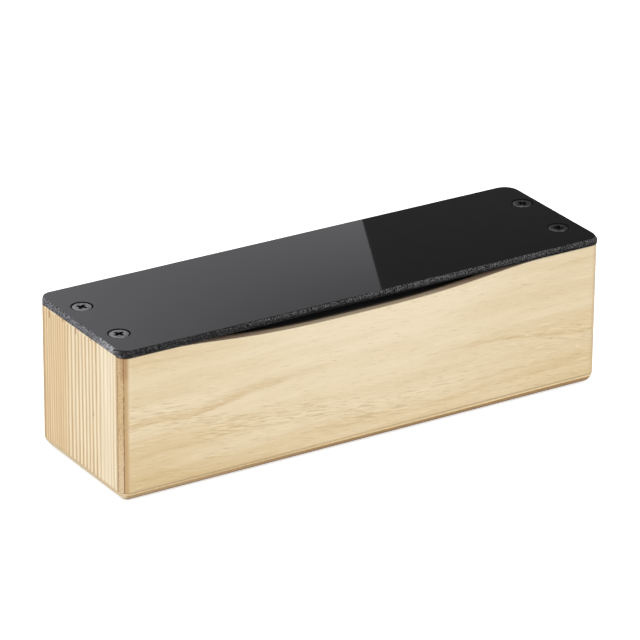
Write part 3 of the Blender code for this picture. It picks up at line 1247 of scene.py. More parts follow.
@dataclass(frozen=True)
class RecessShadeFinish(SpeckledFinish):
    """Black plating in the screws' recesses, painted near black as the shade deep inside them; the plate's
    countersinks take it too.
    """

    name: str = "shaded_recess"
    ground: Colour = (0.0030, 0.0030, 0.0032, 1.0)
    speckle: Colour = (0.0090, 0.0088, 0.0085, 1.0)
    grit: Grit = Grit(3.0, 0.45, 0.75)
    roughness: Pair = (0.7, 0.9)
    plain: Settings = (("Specular IOR Level", 0.05),)


@dataclass(frozen=True)
class SteelShotFinish(SpeckledFinish):
    """Tumbled steel balls, dulled and lightly pitted."""

    name: str = "tumbled_steel"
    ground: Colour = srgb(196, 197, 199)
    speckle: Colour = srgb(150, 150, 151)
    grit: Grit = Grit(1.6, 0.50, 0.80)
    roughness: Pair = (0.16, 0.36)
    relief: Pair = (0.00002, 0.3)
    plain: Settings = (("Metallic", 1.0),)


def loft(rings: Sequence[Sequence[Vector]]) -> bmesh.types.BMesh:
    """Skin a row of closed rings of equal length and cap both ends.

    Args:
        rings: Rings of points.

    Returns:
        The closed skin.
    """
    tool = bmesh.new()
    loops = [[tool.verts.new(point) for point in ring] for ring in rings]
    for near, far in zip(loops, loops[1:]):
        for index in range(len(near)):
            after = (index + 1) % len(near)
            tool.faces.new((near[index], near[after], far[after], far[index]))
    tool.faces.new(list(reversed(loops[0])))
    tool.faces.new(loops[-1])
    return tool


def rounded_ring(half_x: float, half_y: float, radii: Union[float, Sequence[float]], height: float,
                 steps: int, runs: int = 1) -> list[Vector]:
    """Give a rounded rectangle, counter-clockwise from above, starting at its right rear corner.

    Args:
        half_x: Half its length.
        half_y: Half its width.
        radii: Radius of its corners, or one for each.
        height: Its height.
        steps: Steps in each corner.
        runs: Steps in each straight side.

    Returns:
        Its points.
    """
    points: list[Vector] = []
    for corner, (sign_x, sign_y) in enumerate(((1, 1), (-1, 1), (-1, -1), (1, -1))):
        radius = radii if isinstance(radii, float) else radii[corner]
        centre = Vector((sign_x * (half_x - radius), sign_y * (half_y - radius), height))
        arc = []
        for step in range(steps + 1):
            angle = (corner + step / steps) * math.pi / 2
            arc.append(centre + Vector((math.cos(angle), math.sin(angle), 0.0)) * radius)
        if points:
            points.extend(points[-1].lerp(arc[0], step / runs) for step in range(1, runs))
        points.extend(arc)
    points.extend(points[-1].lerp(points[0], step / runs) for step in range(1, runs))
    return points


def arc_steps(radius: float, steps: int) -> list[Pair]:
    """List (inset, drop) pairs down a quarter round, from its upper end to its lower one."""
    turns = [step / steps * math.pi / 2 for step in range(steps + 1)]
    return [(radius * (1 - math.sin(turn)), radius * (1 - math.cos(turn))) for turn in turns]


def shade(mesh: bpy.types.Mesh) -> None:
    """Shade a mesh smooth with its corners sharp."""
    mesh.shade_smooth()
    mesh.set_sharp_from_angle(angle=SHARP_ANGLE)


def link_new(name: str, data: bpy.types.ID) -> Object:
    """Put a mesh, a camera or a light in the scene as an object at the origin.

    Args:
        name: The object's name.
        data: What it holds.

    Returns:
        The object.
    """
    made = bpy.data.objects.new(name, data)
    bpy.context.scene.collection.objects.link(made)
    return made


def as_object(name: str, tool: bmesh.types.BMesh, material: Material | None = None) -> Object:
    """Turn a bmesh into an object.

    Args:
        name: The object's name.
        tool: The bmesh, which is freed.
        material: Its material, if it takes one.

    Returns:
        The object.
    """
    bmesh.ops.recalc_face_normals(tool, faces=tool.faces)
    mesh = bpy.data.meshes.new(name)
    tool.to_mesh(mesh)
    tool.free()
    if material:
        mesh.materials.append(material)
    shade(mesh)
    return link_new(name, mesh)


def bake_modifiers(piece: Object) -> None:
    """Make a piece's modifiers part of its mesh.

    Args:
        piece: The piece, which loses its modifiers.
    """
    depsgraph = bpy.context.evaluated_depsgraph_get()
    mesh = bpy.data.meshes.new_from_object(piece.evaluated_get(depsgraph), depsgraph=depsgraph)
    piece.modifiers.clear()
    piece.data = mesh


def cut_out(piece: Object, cutters: Sequence[Object]) -> None:
    """Cut shapes out of a piece and delete the cutters.

    Args:
        piece: The piece to cut.
        cutters: Closed shapes to take away.
    """
    for cutter in cutters:
        modifier = piece.modifiers.new(cutter.name, "BOOLEAN")
        modifier.operation = "DIFFERENCE"
        modifier.solver = "EXACT"
        modifier.object = cutter
    bake_modifiers(piece)
    for cutter in cutters:
        bpy.data.objects.remove(cutter, do_unlink=True)


def settle(piece: Object, body: str, slot: Slot, *nodes: str) -> None:
    """Tie a piece to its body, hide the solids that it stands for, and report it.

    Args:
        piece: The finished piece.
        body: The body that it rides on.
        slot: The record's slot for its finish, which is not used.
        *nodes: The solids that it stands for.
    """
    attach(piece, body)
    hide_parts(*nodes)
    LOG.info("%s rides on %s for %s, %d faces", piece.name, body, ", ".join(nodes), len(piece.data.polygons))


class GeometryTree:
    """A Geometry Nodes tree with named inputs, whose result becomes a plain mesh."""

    def __init__(self, name: str, numbers: Iterable[str]) -> None:
        """Make the tree's sockets: geometry, plain numbers and a material.

        Args:
            name: The tree's name.
            numbers: Names of the inputs that are plain numbers.
        """
        self.tree = bpy.data.node_groups.new(name, "GeometryNodeTree")
        interface = self.tree.interface
        interface.new_socket(name="Geometry", in_out="INPUT", socket_type=GEOMETRY)
        self.sockets = {
            label: interface.new_socket(name=label, in_out="INPUT", socket_type=kind).identifier
            for label, kind in {**dict.fromkeys(numbers, FLOAT), "Material": MATERIAL}.items()
        }
        interface.new_socket(name="Geometry", in_out="OUTPUT", socket_type=GEOMETRY)
        self.graph = Graph(self.tree)
        self.entry = self.graph.node("NodeGroupInput").outputs
        self.exit = self.graph.node("NodeGroupOutput").inputs[0]

    def close(self, geometry: Socket) -> None:
        """End the tree in real geometry with the material set.

        Args:
            geometry: What the tree has made.
        """
        real = self.graph.node("GeometryNodeRealizeInstances", {0: geometry}).outputs[0]
        dressed = self.graph.node("GeometryNodeSetMaterial", {
            "Geometry": real, "Material": self.entry["Material"]})
        self.graph.feed(self.exit, dressed.outputs[0])

    def run(self, piece: Object, numbers: dict[str, float], material: Material) -> None:
        """Run the tree on a piece and keep the result as its mesh.

        Args:
            piece: An object whose mesh is the tree's input.
            numbers: Value for each input that is a plain number.
            material: The result's material.
        """
        modifier = piece.modifiers.new(self.tree.name, "NODES")
        modifier.node_group = self.tree
        for label, value in {**numbers, "Material": material}.items():
            modifier[self.sockets[label]] = value
        bake_modifiers(piece)
        tool = bmesh.new()
        tool.from_mesh(piece.data)
        bmesh.ops.remove_doubles(tool, verts=tool.verts, dist=MERGE_DISTANCE)
        bmesh.ops.recalc_face_normals(tool, faces=tool.faces)
        tool.to_mesh(piece.data)
        tool.free()
        piece.data.materials.clear()
        piece.data.materials.append(material)
        piece.data.polygons.foreach_set("material_index", [0] * len(piece.data.polygons))
        shade(piece.data)


@dataclass
class SidePanels:
    """Two plywood sides whose top edges dip into the sound slot by one rule."""

    sizes: ShakerSizes
    arris: float = 0.0003
    stations: int = 161
    rows: int = 57

    def numbers(self, side: Side) -> dict[str, float]:
        """List the numbers that one side is laid out from.

        Args:
            side: Which side it is.

        Returns:
            A value for each of the tree's inputs.
        """
        sizes = self.sizes
        return {
            "Facing": float(side.value),
            "Length": sizes.length,
            "Bottom": sizes.wall_bottom,
            "Top": sizes.wood_height,
            "Outer": sizes.width / 2,
            "Thickness": sizes.side_thickness,
            "Edge Radius": sizes.edge_radius,
            "Arris": self.arris,
            "Slot Depth": sizes.slot_depth,
            "Slot Half Length": sizes.slot_half_length,
            "Slot Offset": sizes.slot_offset,
            "Slot Fullness": sizes.slot_fullness,
            "Slot Runout": sizes.slot_runout,
        }

    def make_tree(self) -> GeometryTree:
        """Build the tree that lays out one side from its numbers.

        Returns:
            The tree.
        """
        made = GeometryTree("slotted_side", self.numbers(Side.FRONT))
        graph, entry = made.graph, made.entry
        sheet = graph.node("GeometryNodeMeshGrid", {
            "Size X": 2.0, "Size Y": 2.0, "Vertices X": self.stations, "Vertices Y": self.rows,
        }).outputs["Mesh"]
        across, upward, _ = graph.split(graph.node("GeometryNodeInputPosition").outputs[0])
        half = graph.product(entry["Length"], 0.5)
        x = graph.product(half, self.crowd_ends(graph, across))
        aside = graph.math("ABSOLUTE", graph.minus(x, entry["Slot Offset"]))
        reach = graph.math("MINIMUM", 1.0, graph.math("DIVIDE", aside, entry["Slot Half Length"]))
        full = graph.minus(1.0, graph.math("POWER", reach, entry["Slot Fullness"]))
        dip = graph.product(entry["Slot Depth"], graph.math("POWER", full, entry["Slot Runout"]))
        top = graph.minus(entry["Top"], dip)
        share = graph.math("MULTIPLY_ADD", self.crowd_ends(graph, upward), 0.5, 0.5)
        z = graph.math("MULTIPLY_ADD", graph.minus(top, entry["Bottom"]), share, entry["Bottom"])
        from_end = graph.minus(half, graph.math("ABSOLUTE", x))
        inset = graph.total(
            self.rounding(graph, from_end, entry["Edge Radius"]),
            self.rounding(graph, graph.minus(top, z), entry["Arris"]),
            self.rounding(graph, graph.minus(z, entry["Bottom"]), entry["Arris"]),
        )
        outer, inner = (
            graph.product(entry["Facing"], graph.minus(entry["Outer"], depth))
            for depth in (inset, entry["Thickness"]))
        outside = graph.node("GeometryNodeSetPosition", {
            "Geometry": sheet, "Position": graph.join(x, outer, z)})
        drawn = graph.node("GeometryNodeExtrudeMesh", {
            "Mesh": outside.outputs[0], "Offset Scale": 0.0, "Individual": False})
        flat_x, _, flat_z = graph.split(graph.node("GeometryNodeInputPosition").outputs[0])
        inside = graph.node("GeometryNodeSetPosition", {
            "Geometry": drawn.outputs["Mesh"], "Selection": drawn.outputs["Top"],
            "Position": graph.join(flat_x, inner, flat_z),
        })
        both = graph.node("GeometryNodeJoinGeometry")
        graph.feed(both.inputs[0], inside.outputs[0])
        graph.feed(both.inputs[0], outside.outputs[0])
        made.close(both.outputs[0])
        return made

    @staticmethod
    def crowd_ends(graph: Graph, value: Value) -> Socket:
        """Spread stations from -1 to 1 so that they crowd towards both ends."""
        return graph.math("SINE", graph.product(value, math.pi / 2))

    @staticmethod
    def rounding(graph: Graph, from_edge: Value, radius: Value) -> Socket:
        """Give how far a quarter round draws a face in.

        Args:
            graph: The tree's graph.
            from_edge: Distance from the edge.
            radius: The round's radius.

        Returns:
            The inset.
        """
        into = graph.math("MAXIMUM", 0.0, graph.minus(radius, from_edge))
        squares = graph.minus(graph.product(radius, radius), graph.product(into, into))
        return graph.minus(radius, graph.math("SQRT", graph.math("MAXIMUM", squares, 0.0)))

    def build(self, finishes: dict[Side, Material]) -> None:
        """Make both sides.

        Args:
            finishes: Material for each side.
        """
        tree = self.make_tree()
        for side, node in ((Side.FRONT, "front_panel"), (Side.REAR, "rear_panel")):
            piece = link_new(f"{side.name.lower()}_side", bpy.data.meshes.new(node))
            tree.run(piece, self.numbers(side), finishes[side])
            settle(piece, BOX_BODY, Slot.PLYWOOD, node)


@dataclass
class BaseBoard:
    """Plywood base: its upper edge eased at the seam, its lower edge a round that is cut off by its top."""

    sizes: ShakerSizes
    arris: float = 0.00015
    foot_corner: float = 0.00015
    arris_steps: int = 3
    corner_steps: int = 12
    round_steps: int = 16

    def profile(self) -> list[Pair]:
        """List the outline down the base's edge.

        Returns:
            (inset, height) pairs from the top down.
        """
        top, radius = self.sizes.base_thickness, self.sizes.base_round
        start = math.asin(1.0 - (top - self.arris) / radius)
        shoulder = radius * (1.0 - math.cos(start))
        pairs = [(shoulder + inset, top - drop) for inset, drop in arc_steps(self.arris, self.arris_steps)]
        for step in range(1, self.round_steps + 1):
            turn = start + (math.pi / 2 - start) * step / self.round_steps
            pairs.append((radius * (1.0 - math.cos(turn)), radius * (1.0 - math.sin(turn))))
        return pairs

    def build(self, finish: Material) -> None:
        """Make the base.

        Args:
            finish: Its material.
        """
        rings = []
        for inset, height in self.profile():
            rings.append(rounded_ring(
                self.sizes.length / 2 - inset,
                self.sizes.width / 2 - inset,
                max(self.sizes.edge_radius - inset, self.foot_corner),
                height,
                self.corner_steps,
            ))
        piece = as_object("base_board", loft(rings), finish)
        settle(piece, BOX_BODY, Slot.PLYWOOD, "bottom_panel")


@dataclass
class Screws:
    """Four countersunk screws, laid out by one tree on their places."""

    sizes: ShakerSizes
    head_diameter: float = 0.0070
    head_sink: float = 0.00015
    rim_round: float = 0.00022
    rim_ease: float = 0.3
    rim_drop: float = 0.00010
    shank_diameter: float = 0.0035
    length: float = 0.0180
    tip_length: float = 0.0040
    tip_diameter: float = 0.0006
    recess_span: float = 0.0042
    recess_width: float = 0.0015
    recess_core: float = 0.0022
    recess_depth: float = 0.0016
    recess_taper: float = 0.34
    recess_clear: float = 0.0002
    recess_reach: float = 1.1
    weld: float = 1e-6
    hole_gap: float = 0.00025
    turns: tuple[tuple[str, float], ...] = (
        ("screw_front_left", 20.0),
        ("screw_rear_left", 35.0),
        ("screw_front_right", 55.0),
        ("screw_rear_right", 10.0),
    )
    sides: int = 64

    def places(self) -> list[Vector]:
        """Find the screws from their solids.

        Returns:
            Each screw's axis at the plate's top.
        """
        found = []
        for node, _ in self.turns:
            low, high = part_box(node)
            found.append(Vector(((low[0] + high[0]) / 2, (low[1] + high[1]) / 2, self.sizes.plate_top)))
        return found

    def turned(self, name: str, profile: Sequence[Pair], place: Vector) -> Object:
        """Spin a profile about an upright axis into a closed shape.

        Args:
            name: The shape's name.
            profile: (radius, height) pairs from the top down.
            place: A point on the axis that heights are measured from.

        Returns:
            The shape as an object.
        """
        rings = []
        for radius, height in profile:
            ring = []
            for step in range(self.sides):
                angle = 2 * math.pi * step / self.sides
                ring.append(place + Vector((radius * math.cos(angle), radius * math.sin(angle), height)))
            rings.append(ring)
        return as_object(name, loft(rings))

    def holes(self, places: Sequence[Vector]) -> list[Object]:
        """Make cutters for the countersunk holes.

        Args:
            places: The screws' axes at the plate's top.

        Returns:
            One cutter for each place.
        """
        head = self.head_diameter / 2 + self.hole_gap * math.sqrt(2.0)
        shank = self.shank_diameter / 2 + self.hole_gap
        rim = -self.head_sink - self.rim_drop
        above = self.head_diameter / 2
        profile = [
            (head - rim + above, above),
            (shank, rim - (head - shank)),
            (shank, -self.length - self.hole_gap),
        ]
        return [self.turned(f"hole_{index}", profile, place) for index, place in enumerate(places)]

    def numbers(self) -> dict[str, float]:
        """List the numbers that a screw is laid out from.

        Returns:
            A value for each of the tree's inputs.
        """
        return {
            "Head Diameter": self.head_diameter,
            "Head Sink": self.head_sink,
            "Rim Round": self.rim_round,
            "Rim Drop": self.rim_drop,
            "Shank Diameter": self.shank_diameter,
            "Length": self.length,
            "Tip Length": self.tip_length,
            "Tip Diameter": self.tip_diameter,
            "Recess Span": self.recess_span,
            "Recess Width": self.recess_width,
            "Recess Core": self.recess_core,
            "Recess Depth": self.recess_depth,
        }

    def make_tree(self) -> GeometryTree:
        """Build the tree that makes one screw and sets it on every place.

        Returns:
            The tree.
        """
        made = GeometryTree("screw_set", self.numbers())
        graph, entry = made.graph, made.entry
        head, shank, tip = (
            graph.product(entry[f"{label} Diameter"], 0.5) for label in ("Head", "Shank", "Tip"))
        face = graph.product(entry["Head Sink"], -1.0)
        eased = graph.math("MULTIPLY_ADD", entry["Rim Round"], -self.rim_ease, face)
        rim = graph.minus(face, entry["Rim Drop"])
        neck = graph.minus(rim, graph.minus(head, shank))
        foot = graph.product(entry["Length"], -1.0)
        taper = graph.total(foot, entry["Tip Length"])
        flat = graph.minus(head, entry["Rim Round"])
        stack = [(flat, face), (head, eased), (head, rim), (shank, neck), (shank, taper), (tip, foot)]
        parts = [self.disc(graph, flat, face), self.disc(graph, tip, foot)]
        for (upper, high), (lower, low) in zip(stack, stack[1:]):
            parts.append(self.frustum(graph, upper, high, lower, low))
        joined = graph.node("GeometryNodeJoinGeometry")
        for part in parts:
            graph.feed(joined.inputs[0], part)
        solid = graph.node("GeometryNodeMergeByDistance", {
            "Geometry": joined.outputs[0], "Distance": self.weld})
        cut = graph.node("GeometryNodeMeshBoolean", operation="DIFFERENCE", solver="EXACT")
        graph.feed(cut.inputs["Mesh 1"], solid.outputs[0])
        span, width, core = entry["Recess Span"], entry["Recess Width"], entry["Recess Core"]
        for angle, long, wide in ((0.0, span, width), (math.pi / 2, span, width), (math.pi / 4, core, core)):
            arm = self.recess_arm(graph, long, wide, entry["Recess Depth"], face, angle)
            graph.feed(cut.inputs["Mesh 2"], arm)
        turn = graph.node("GeometryNodeInputNamedAttribute", {"Name": "turn"}, data_type="FLOAT").outputs[0]
        spread = graph.node("GeometryNodeInstanceOnPoints", {
            "Points": entry["Geometry"], "Instance": cut.outputs["Mesh"],
            "Rotation": graph.join(0.0, 0.0, turn),
        })
        made.close(spread.outputs[0])
        return made

    def disc(self, graph: Graph, radius: Value, height: Value) -> Socket:
        """Add a flat disc."""
        made = graph.node("GeometryNodeMeshCircle", {
            "Vertices": self.sides, "Radius": radius}, fill_type="NGON")
        return self.lifted(graph, made.outputs[0], height)

    def frustum(self, graph: Graph, upper: Value, high: Value, lower: Value, low: Value) -> Socket:
        """Add an open cone or tube between two radii at two heights."""
        made = graph.node("GeometryNodeMeshCone", {
            "Vertices": self.sides, "Radius Top": upper, "Radius Bottom": lower,
            "Depth": graph.minus(high, low),
        }, fill_type="NONE")
        return self.lifted(graph, made.outputs[0], low)

    @staticmethod
    def lifted(graph: Graph, geometry: Socket, height: Value) -> Socket:
        """Move geometry to a height."""
        made = graph.node("GeometryNodeTransform", {
            "Geometry": geometry, "Translation": graph.join(0.0, 0.0, height)})
        return made.outputs[0]

    def recess_arm(self, graph: Graph, long: Value, wide: Value, deep: Value, face: Value,
                   angle: float) -> Socket:
        """Add one tapered arm of the cross recess.

        Args:
            graph: The tree's graph.
            long: The arm's length from tip to tip.
            wide: Its width.
            deep: Its depth.
            face: Height of the head's face.
            angle: Turn of the arm.

        Returns:
            The arm's geometry.
        """
        corner = math.sqrt(0.5)
        arm = graph.node("GeometryNodeMeshCone", {
            "Vertices": 4, "Radius Top": corner, "Radius Bottom": corner * self.recess_taper,
            "Depth": graph.total(deep, self.recess_clear),
        })
        squared = graph.node("GeometryNodeTransform", {
            "Geometry": arm.outputs[0], "Rotation": (0.0, 0.0, math.pi / 4)})
        sized = graph.node("GeometryNodeTransform", {
            "Geometry": squared.outputs[0], "Rotation": (0.0, 0.0, angle),
            "Scale": graph.join(long, wide, 1.0),
            "Translation": graph.join(0.0, 0.0, graph.minus(face, deep)),
        })
        return sized.outputs[0]

    def blacken_recesses(self, mesh: bpy.types.Mesh, recess: Material) -> None:
        """Give the recesses' faces a finish of their own.

        Args:
            mesh: The screws' mesh.
            recess: The finish for the recesses.
        """
        mesh.materials.append(recess)
        index = mesh.materials.find(recess.name)
        deepest = self.recess_depth * self.recess_reach
        places = self.places()
        for polygon in mesh.polygons:
            place = min(places, key=lambda spot: (polygon.center - spot).xy.length)
            sunk = place.z - self.head_sink - polygon.center.z
            cone = self.head_diameter / 2 - sunk
            aside = (polygon.center - place).xy.length
            if self.rim_drop / 2 < sunk < deepest and aside < cone - self.rim_round:
                polygon.material_index = index

    def build(self, finish: Material, recess: Material) -> None:
        """Make the four screws as one piece.

        Args:
            finish: Their material.
            recess: The material inside their recesses.
        """
        mesh = bpy.data.meshes.new("screw_places")
        mesh.from_pydata(self.places(), [], [])
        turn = mesh.attributes.new("turn", "FLOAT", "POINT")
        turn.data.foreach_set("value", [math.radians(angle) for _, angle in self.turns])
        piece = link_new("plate_screws", mesh)
        self.make_tree().run(piece, self.numbers(), finish)
        self.blacken_recesses(piece.data, recess)
        settle(piece, BOX_BODY, Slot.SCREW, *(node for node, _ in self.turns))


@dataclass
class EndBlocks:
    """Two solid softwood blocks, bored for the screws and stepped for the cover."""

    sizes: ShakerSizes
    arris: float = 0.00012
    glue_film: float = 0.00002

    def build(self, screws: Screws, finish: Material) -> None:
        """Make both blocks.

        Args:
            screws: The screws that go into them.
            finish: Their material.
        """
        places = screws.places()
        for end, node in ((End.LEFT, "left_end_block"), (End.RIGHT, "right_end_block")):
            piece = as_object(f"{end.name.lower()}_block", self.body(end), finish)
            cut_out(piece, screws.holes([place for place in places if place.x * end.value > 0]))
            shade(piece.data)
            settle(piece, BOX_BODY, Slot.SOFTWOOD, node)

    def body(self, end: End) -> bmesh.types.BMesh:
        """Give the stepped block, its outer corners eased.

        Args:
            end: Which end it closes.

        Returns:
            The closed block.
        """
        half_y = self.sizes.inner_half_width - self.glue_film
        inner = self.sizes.chamber_half_length
        ledge = inner + self.sizes.cover_ledge
        bottom, top = self.sizes.wall_bottom, self.sizes.wood_height
        rings = []
        for y, eased in ((-half_y, self.arris), (self.arris - half_y, 0.0),
                         (half_y - self.arris, 0.0), (half_y, self.arris)):
            outer = self.sizes.length / 2 - eased
            outline = [
                (outer - self.arris, bottom),
                (outer, bottom + self.arris),
                (outer, top - self.arris),
                (outer - self.arris, top),
                (ledge, top),
                (ledge, self.sizes.ledge_top),
                (inner, self.sizes.ledge_top),
                (inner, bottom),
            ]
            rings.append([Vector((end.value * x, y, z)) for x, z in outline])
        return loft(rings)


@dataclass
class TopPlate:
    """Glossy plate with countersunk holes and a ragged sawn edge, its chamfer wider round the corners."""

    sizes: ShakerSizes
    chamfer_width: float = 0.0005
    chamfer_height: float = 0.0011
    chamfer_bend: Pair = (0.4, 0.55)
    corner_radii: tuple[float, ...] = (0.0054, 0.0052, 0.0040, 0.0043)
    corner_wear: tuple[float, ...] = (0.0006, -0.0006, 0.0012, 0.0012)
    lower_arris: float = 0.00012
    rag: float = 0.00007
    rag_scale: float = 1.1
    rag_level: float = 0.5
    foot_rag: float = 0.5
    flat_limit: float = 0.98
    hole_share: float = 0.6
    corner_steps: int = 24
    run_steps: int = 260

    def ragged(self, inset: float, height: float, rag: float) -> list[Vector]:
        """Give one ring of the plate's edge with its saw marks.

        Args:
            inset: How far the ring lies inside the plate's outline.
            height: Its height.
            rag: How far saw marks move a point.

        Returns:
            The ring.
        """
        share = inset / self.chamfer_width
        ring = rounded_ring(
            self.sizes.length / 2 + self.sizes.plate_overhang - inset,
            self.sizes.width / 2 + self.sizes.plate_overhang - inset,
            [radius - inset + worn * share for radius, worn in zip(self.corner_radii, self.corner_wear)],
            height,
            self.corner_steps,
            self.run_steps,
        )
        moved = []
        for point in ring:
            mark = noise.noise(point * MM * self.rag_scale) - self.rag_level
            inward = Vector((-point.x, -point.y * self.sizes.length / self.sizes.width, 0.0)).normalized()
            moved.append(point - inward * min(mark, 0.0) * rag)
        return moved

    def build(self, screws: Screws, gloss: Material, sawn: Material, bored: Material) -> None:
        """Make the plate.

        Args:
            screws: The screws that hold it.
            gloss: The material of its faces.
            sawn: The material of its edge.
            bored: The material of its countersinks.
        """
        bottom, top = self.sizes.plate_bottom, self.sizes.plate_top
        shoulder = top - self.chamfer_height
        bend_inset, bend_drop = self.chamfer_bend
        rings = [
            self.ragged(self.lower_arris, bottom, 0.0),
            self.ragged(0.0, bottom + self.lower_arris, self.rag * self.foot_rag),
            self.ragged(0.0, (bottom + shoulder) / 2, self.rag),
            self.ragged(0.0, shoulder, self.rag),
            self.ragged(self.chamfer_width * bend_inset, top - self.chamfer_height * bend_drop, self.rag),
            self.ragged(self.chamfer_width, top, self.rag),
        ]
        piece = as_object("struck_plate", loft(rings), gloss)
        places = screws.places()
        cut_out(piece, screws.holes(places))
        finishes = piece.data.materials
        finishes.append(sawn)
        finishes.append(bored)
        edge, bore = (finishes.find(finish.name) for finish in (sawn, bored))
        for polygon in piece.data.polygons:
            if abs(polygon.normal.z) < self.flat_limit:
                aside = min((polygon.center - place).xy.length for place in places)
                polygon.material_index = bore if aside < screws.head_diameter * self.hole_share else edge
        shade(piece.data)
        settle(piece, BOX_BODY, Slot.PLATE, "top_plate")


@dataclass
class ChamberCover:
    """Board over the shot, whose solid already has its shape."""

    node: str = "chamber_cover"

    def build(self, finish: Material) -> None:
        """Dress the solid.

        Args:
            finish: Its material.
        """
        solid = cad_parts[self.node]
        for holder in solid.material_slots:
            holder.material = finish
        LOG.info("%s keeps its solid, dressed in %s", self.node, finish.name)


@dataclass
class LooseShot:
    """Steel balls, one to a body, each a little out of round."""

    diameter: float = 0.006
    dimple: float = 0.00002
    dimple_scale: float = 900.0
    dimple_detail: float = 1.0
    subdivisions: int = 4
    first_seed: int = 7

    def make_tree(self) -> GeometryTree:
        """Build the tree that makes a dimpled ball on each place.

        Returns:
            The tree.
        """
        made = GeometryTree("dimpled_ball", ("Diameter", "Dimple", "Seed"))
        graph, entry = made.graph, made.entry
        ball = graph.node("GeometryNodeMeshIcoSphere", {
            "Radius": graph.product(entry["Diameter"], 0.5), "Subdivisions": self.subdivisions})
        marks = graph.node("ShaderNodeTexNoise", {
            "W": entry["Seed"], "Scale": self.dimple_scale, "Detail": self.dimple_detail,
        }, noise_dimensions="4D").outputs[0]
        depth = graph.product(marks, entry["Dimple"], -1.0)
        normal = graph.node("GeometryNodeInputNormal").outputs[0]
        push = graph.node("ShaderNodeVectorMath", {0: normal, "Scale": depth}, operation="SCALE").outputs[0]
        struck = graph.node("GeometryNodeSetPosition", {"Geometry": ball.outputs["Mesh"], "Offset": push})
        spread = graph.node("GeometryNodeInstanceOnPoints", {
            "Points": entry["Geometry"], "Instance": struck.outputs[0]})
        made.close(spread.outputs[0])
        return made

    def build(self, finish: Material) -> None:
        """Make every ball where its solid is.

        Args:
            finish: Their material.
        """
        tree = self.make_tree()
        nodes = sorted(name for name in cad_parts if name.startswith("shot_ball_"))
        for index, node in enumerate(nodes):
            low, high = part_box(node)
            mesh = bpy.data.meshes.new(node)
            mesh.from_pydata([tuple((a + b) / 2 for a, b in zip(low, high))], [], [])
            number = node.rsplit("_", 1)[-1]
            piece = link_new(f"ball_{number}", mesh)
            tree.run(piece, {
                "Diameter": self.diameter,
                "Dimple": self.dimple,
                "Seed": float(self.first_seed + index),
            }, finish)
            settle(piece, f"shot_{number}", Slot.SHOT, node)


@dataclass(frozen=True)
class Lamp:
    """One soft box, aimed at the shaker."""

    name: str
    place: Triple
    size: float
    power: float


@dataclass(frozen=True)
class Mirrored:
    """How bright a card is where a spot on the plate mirrors it."""

    spot: Pair
    level: float


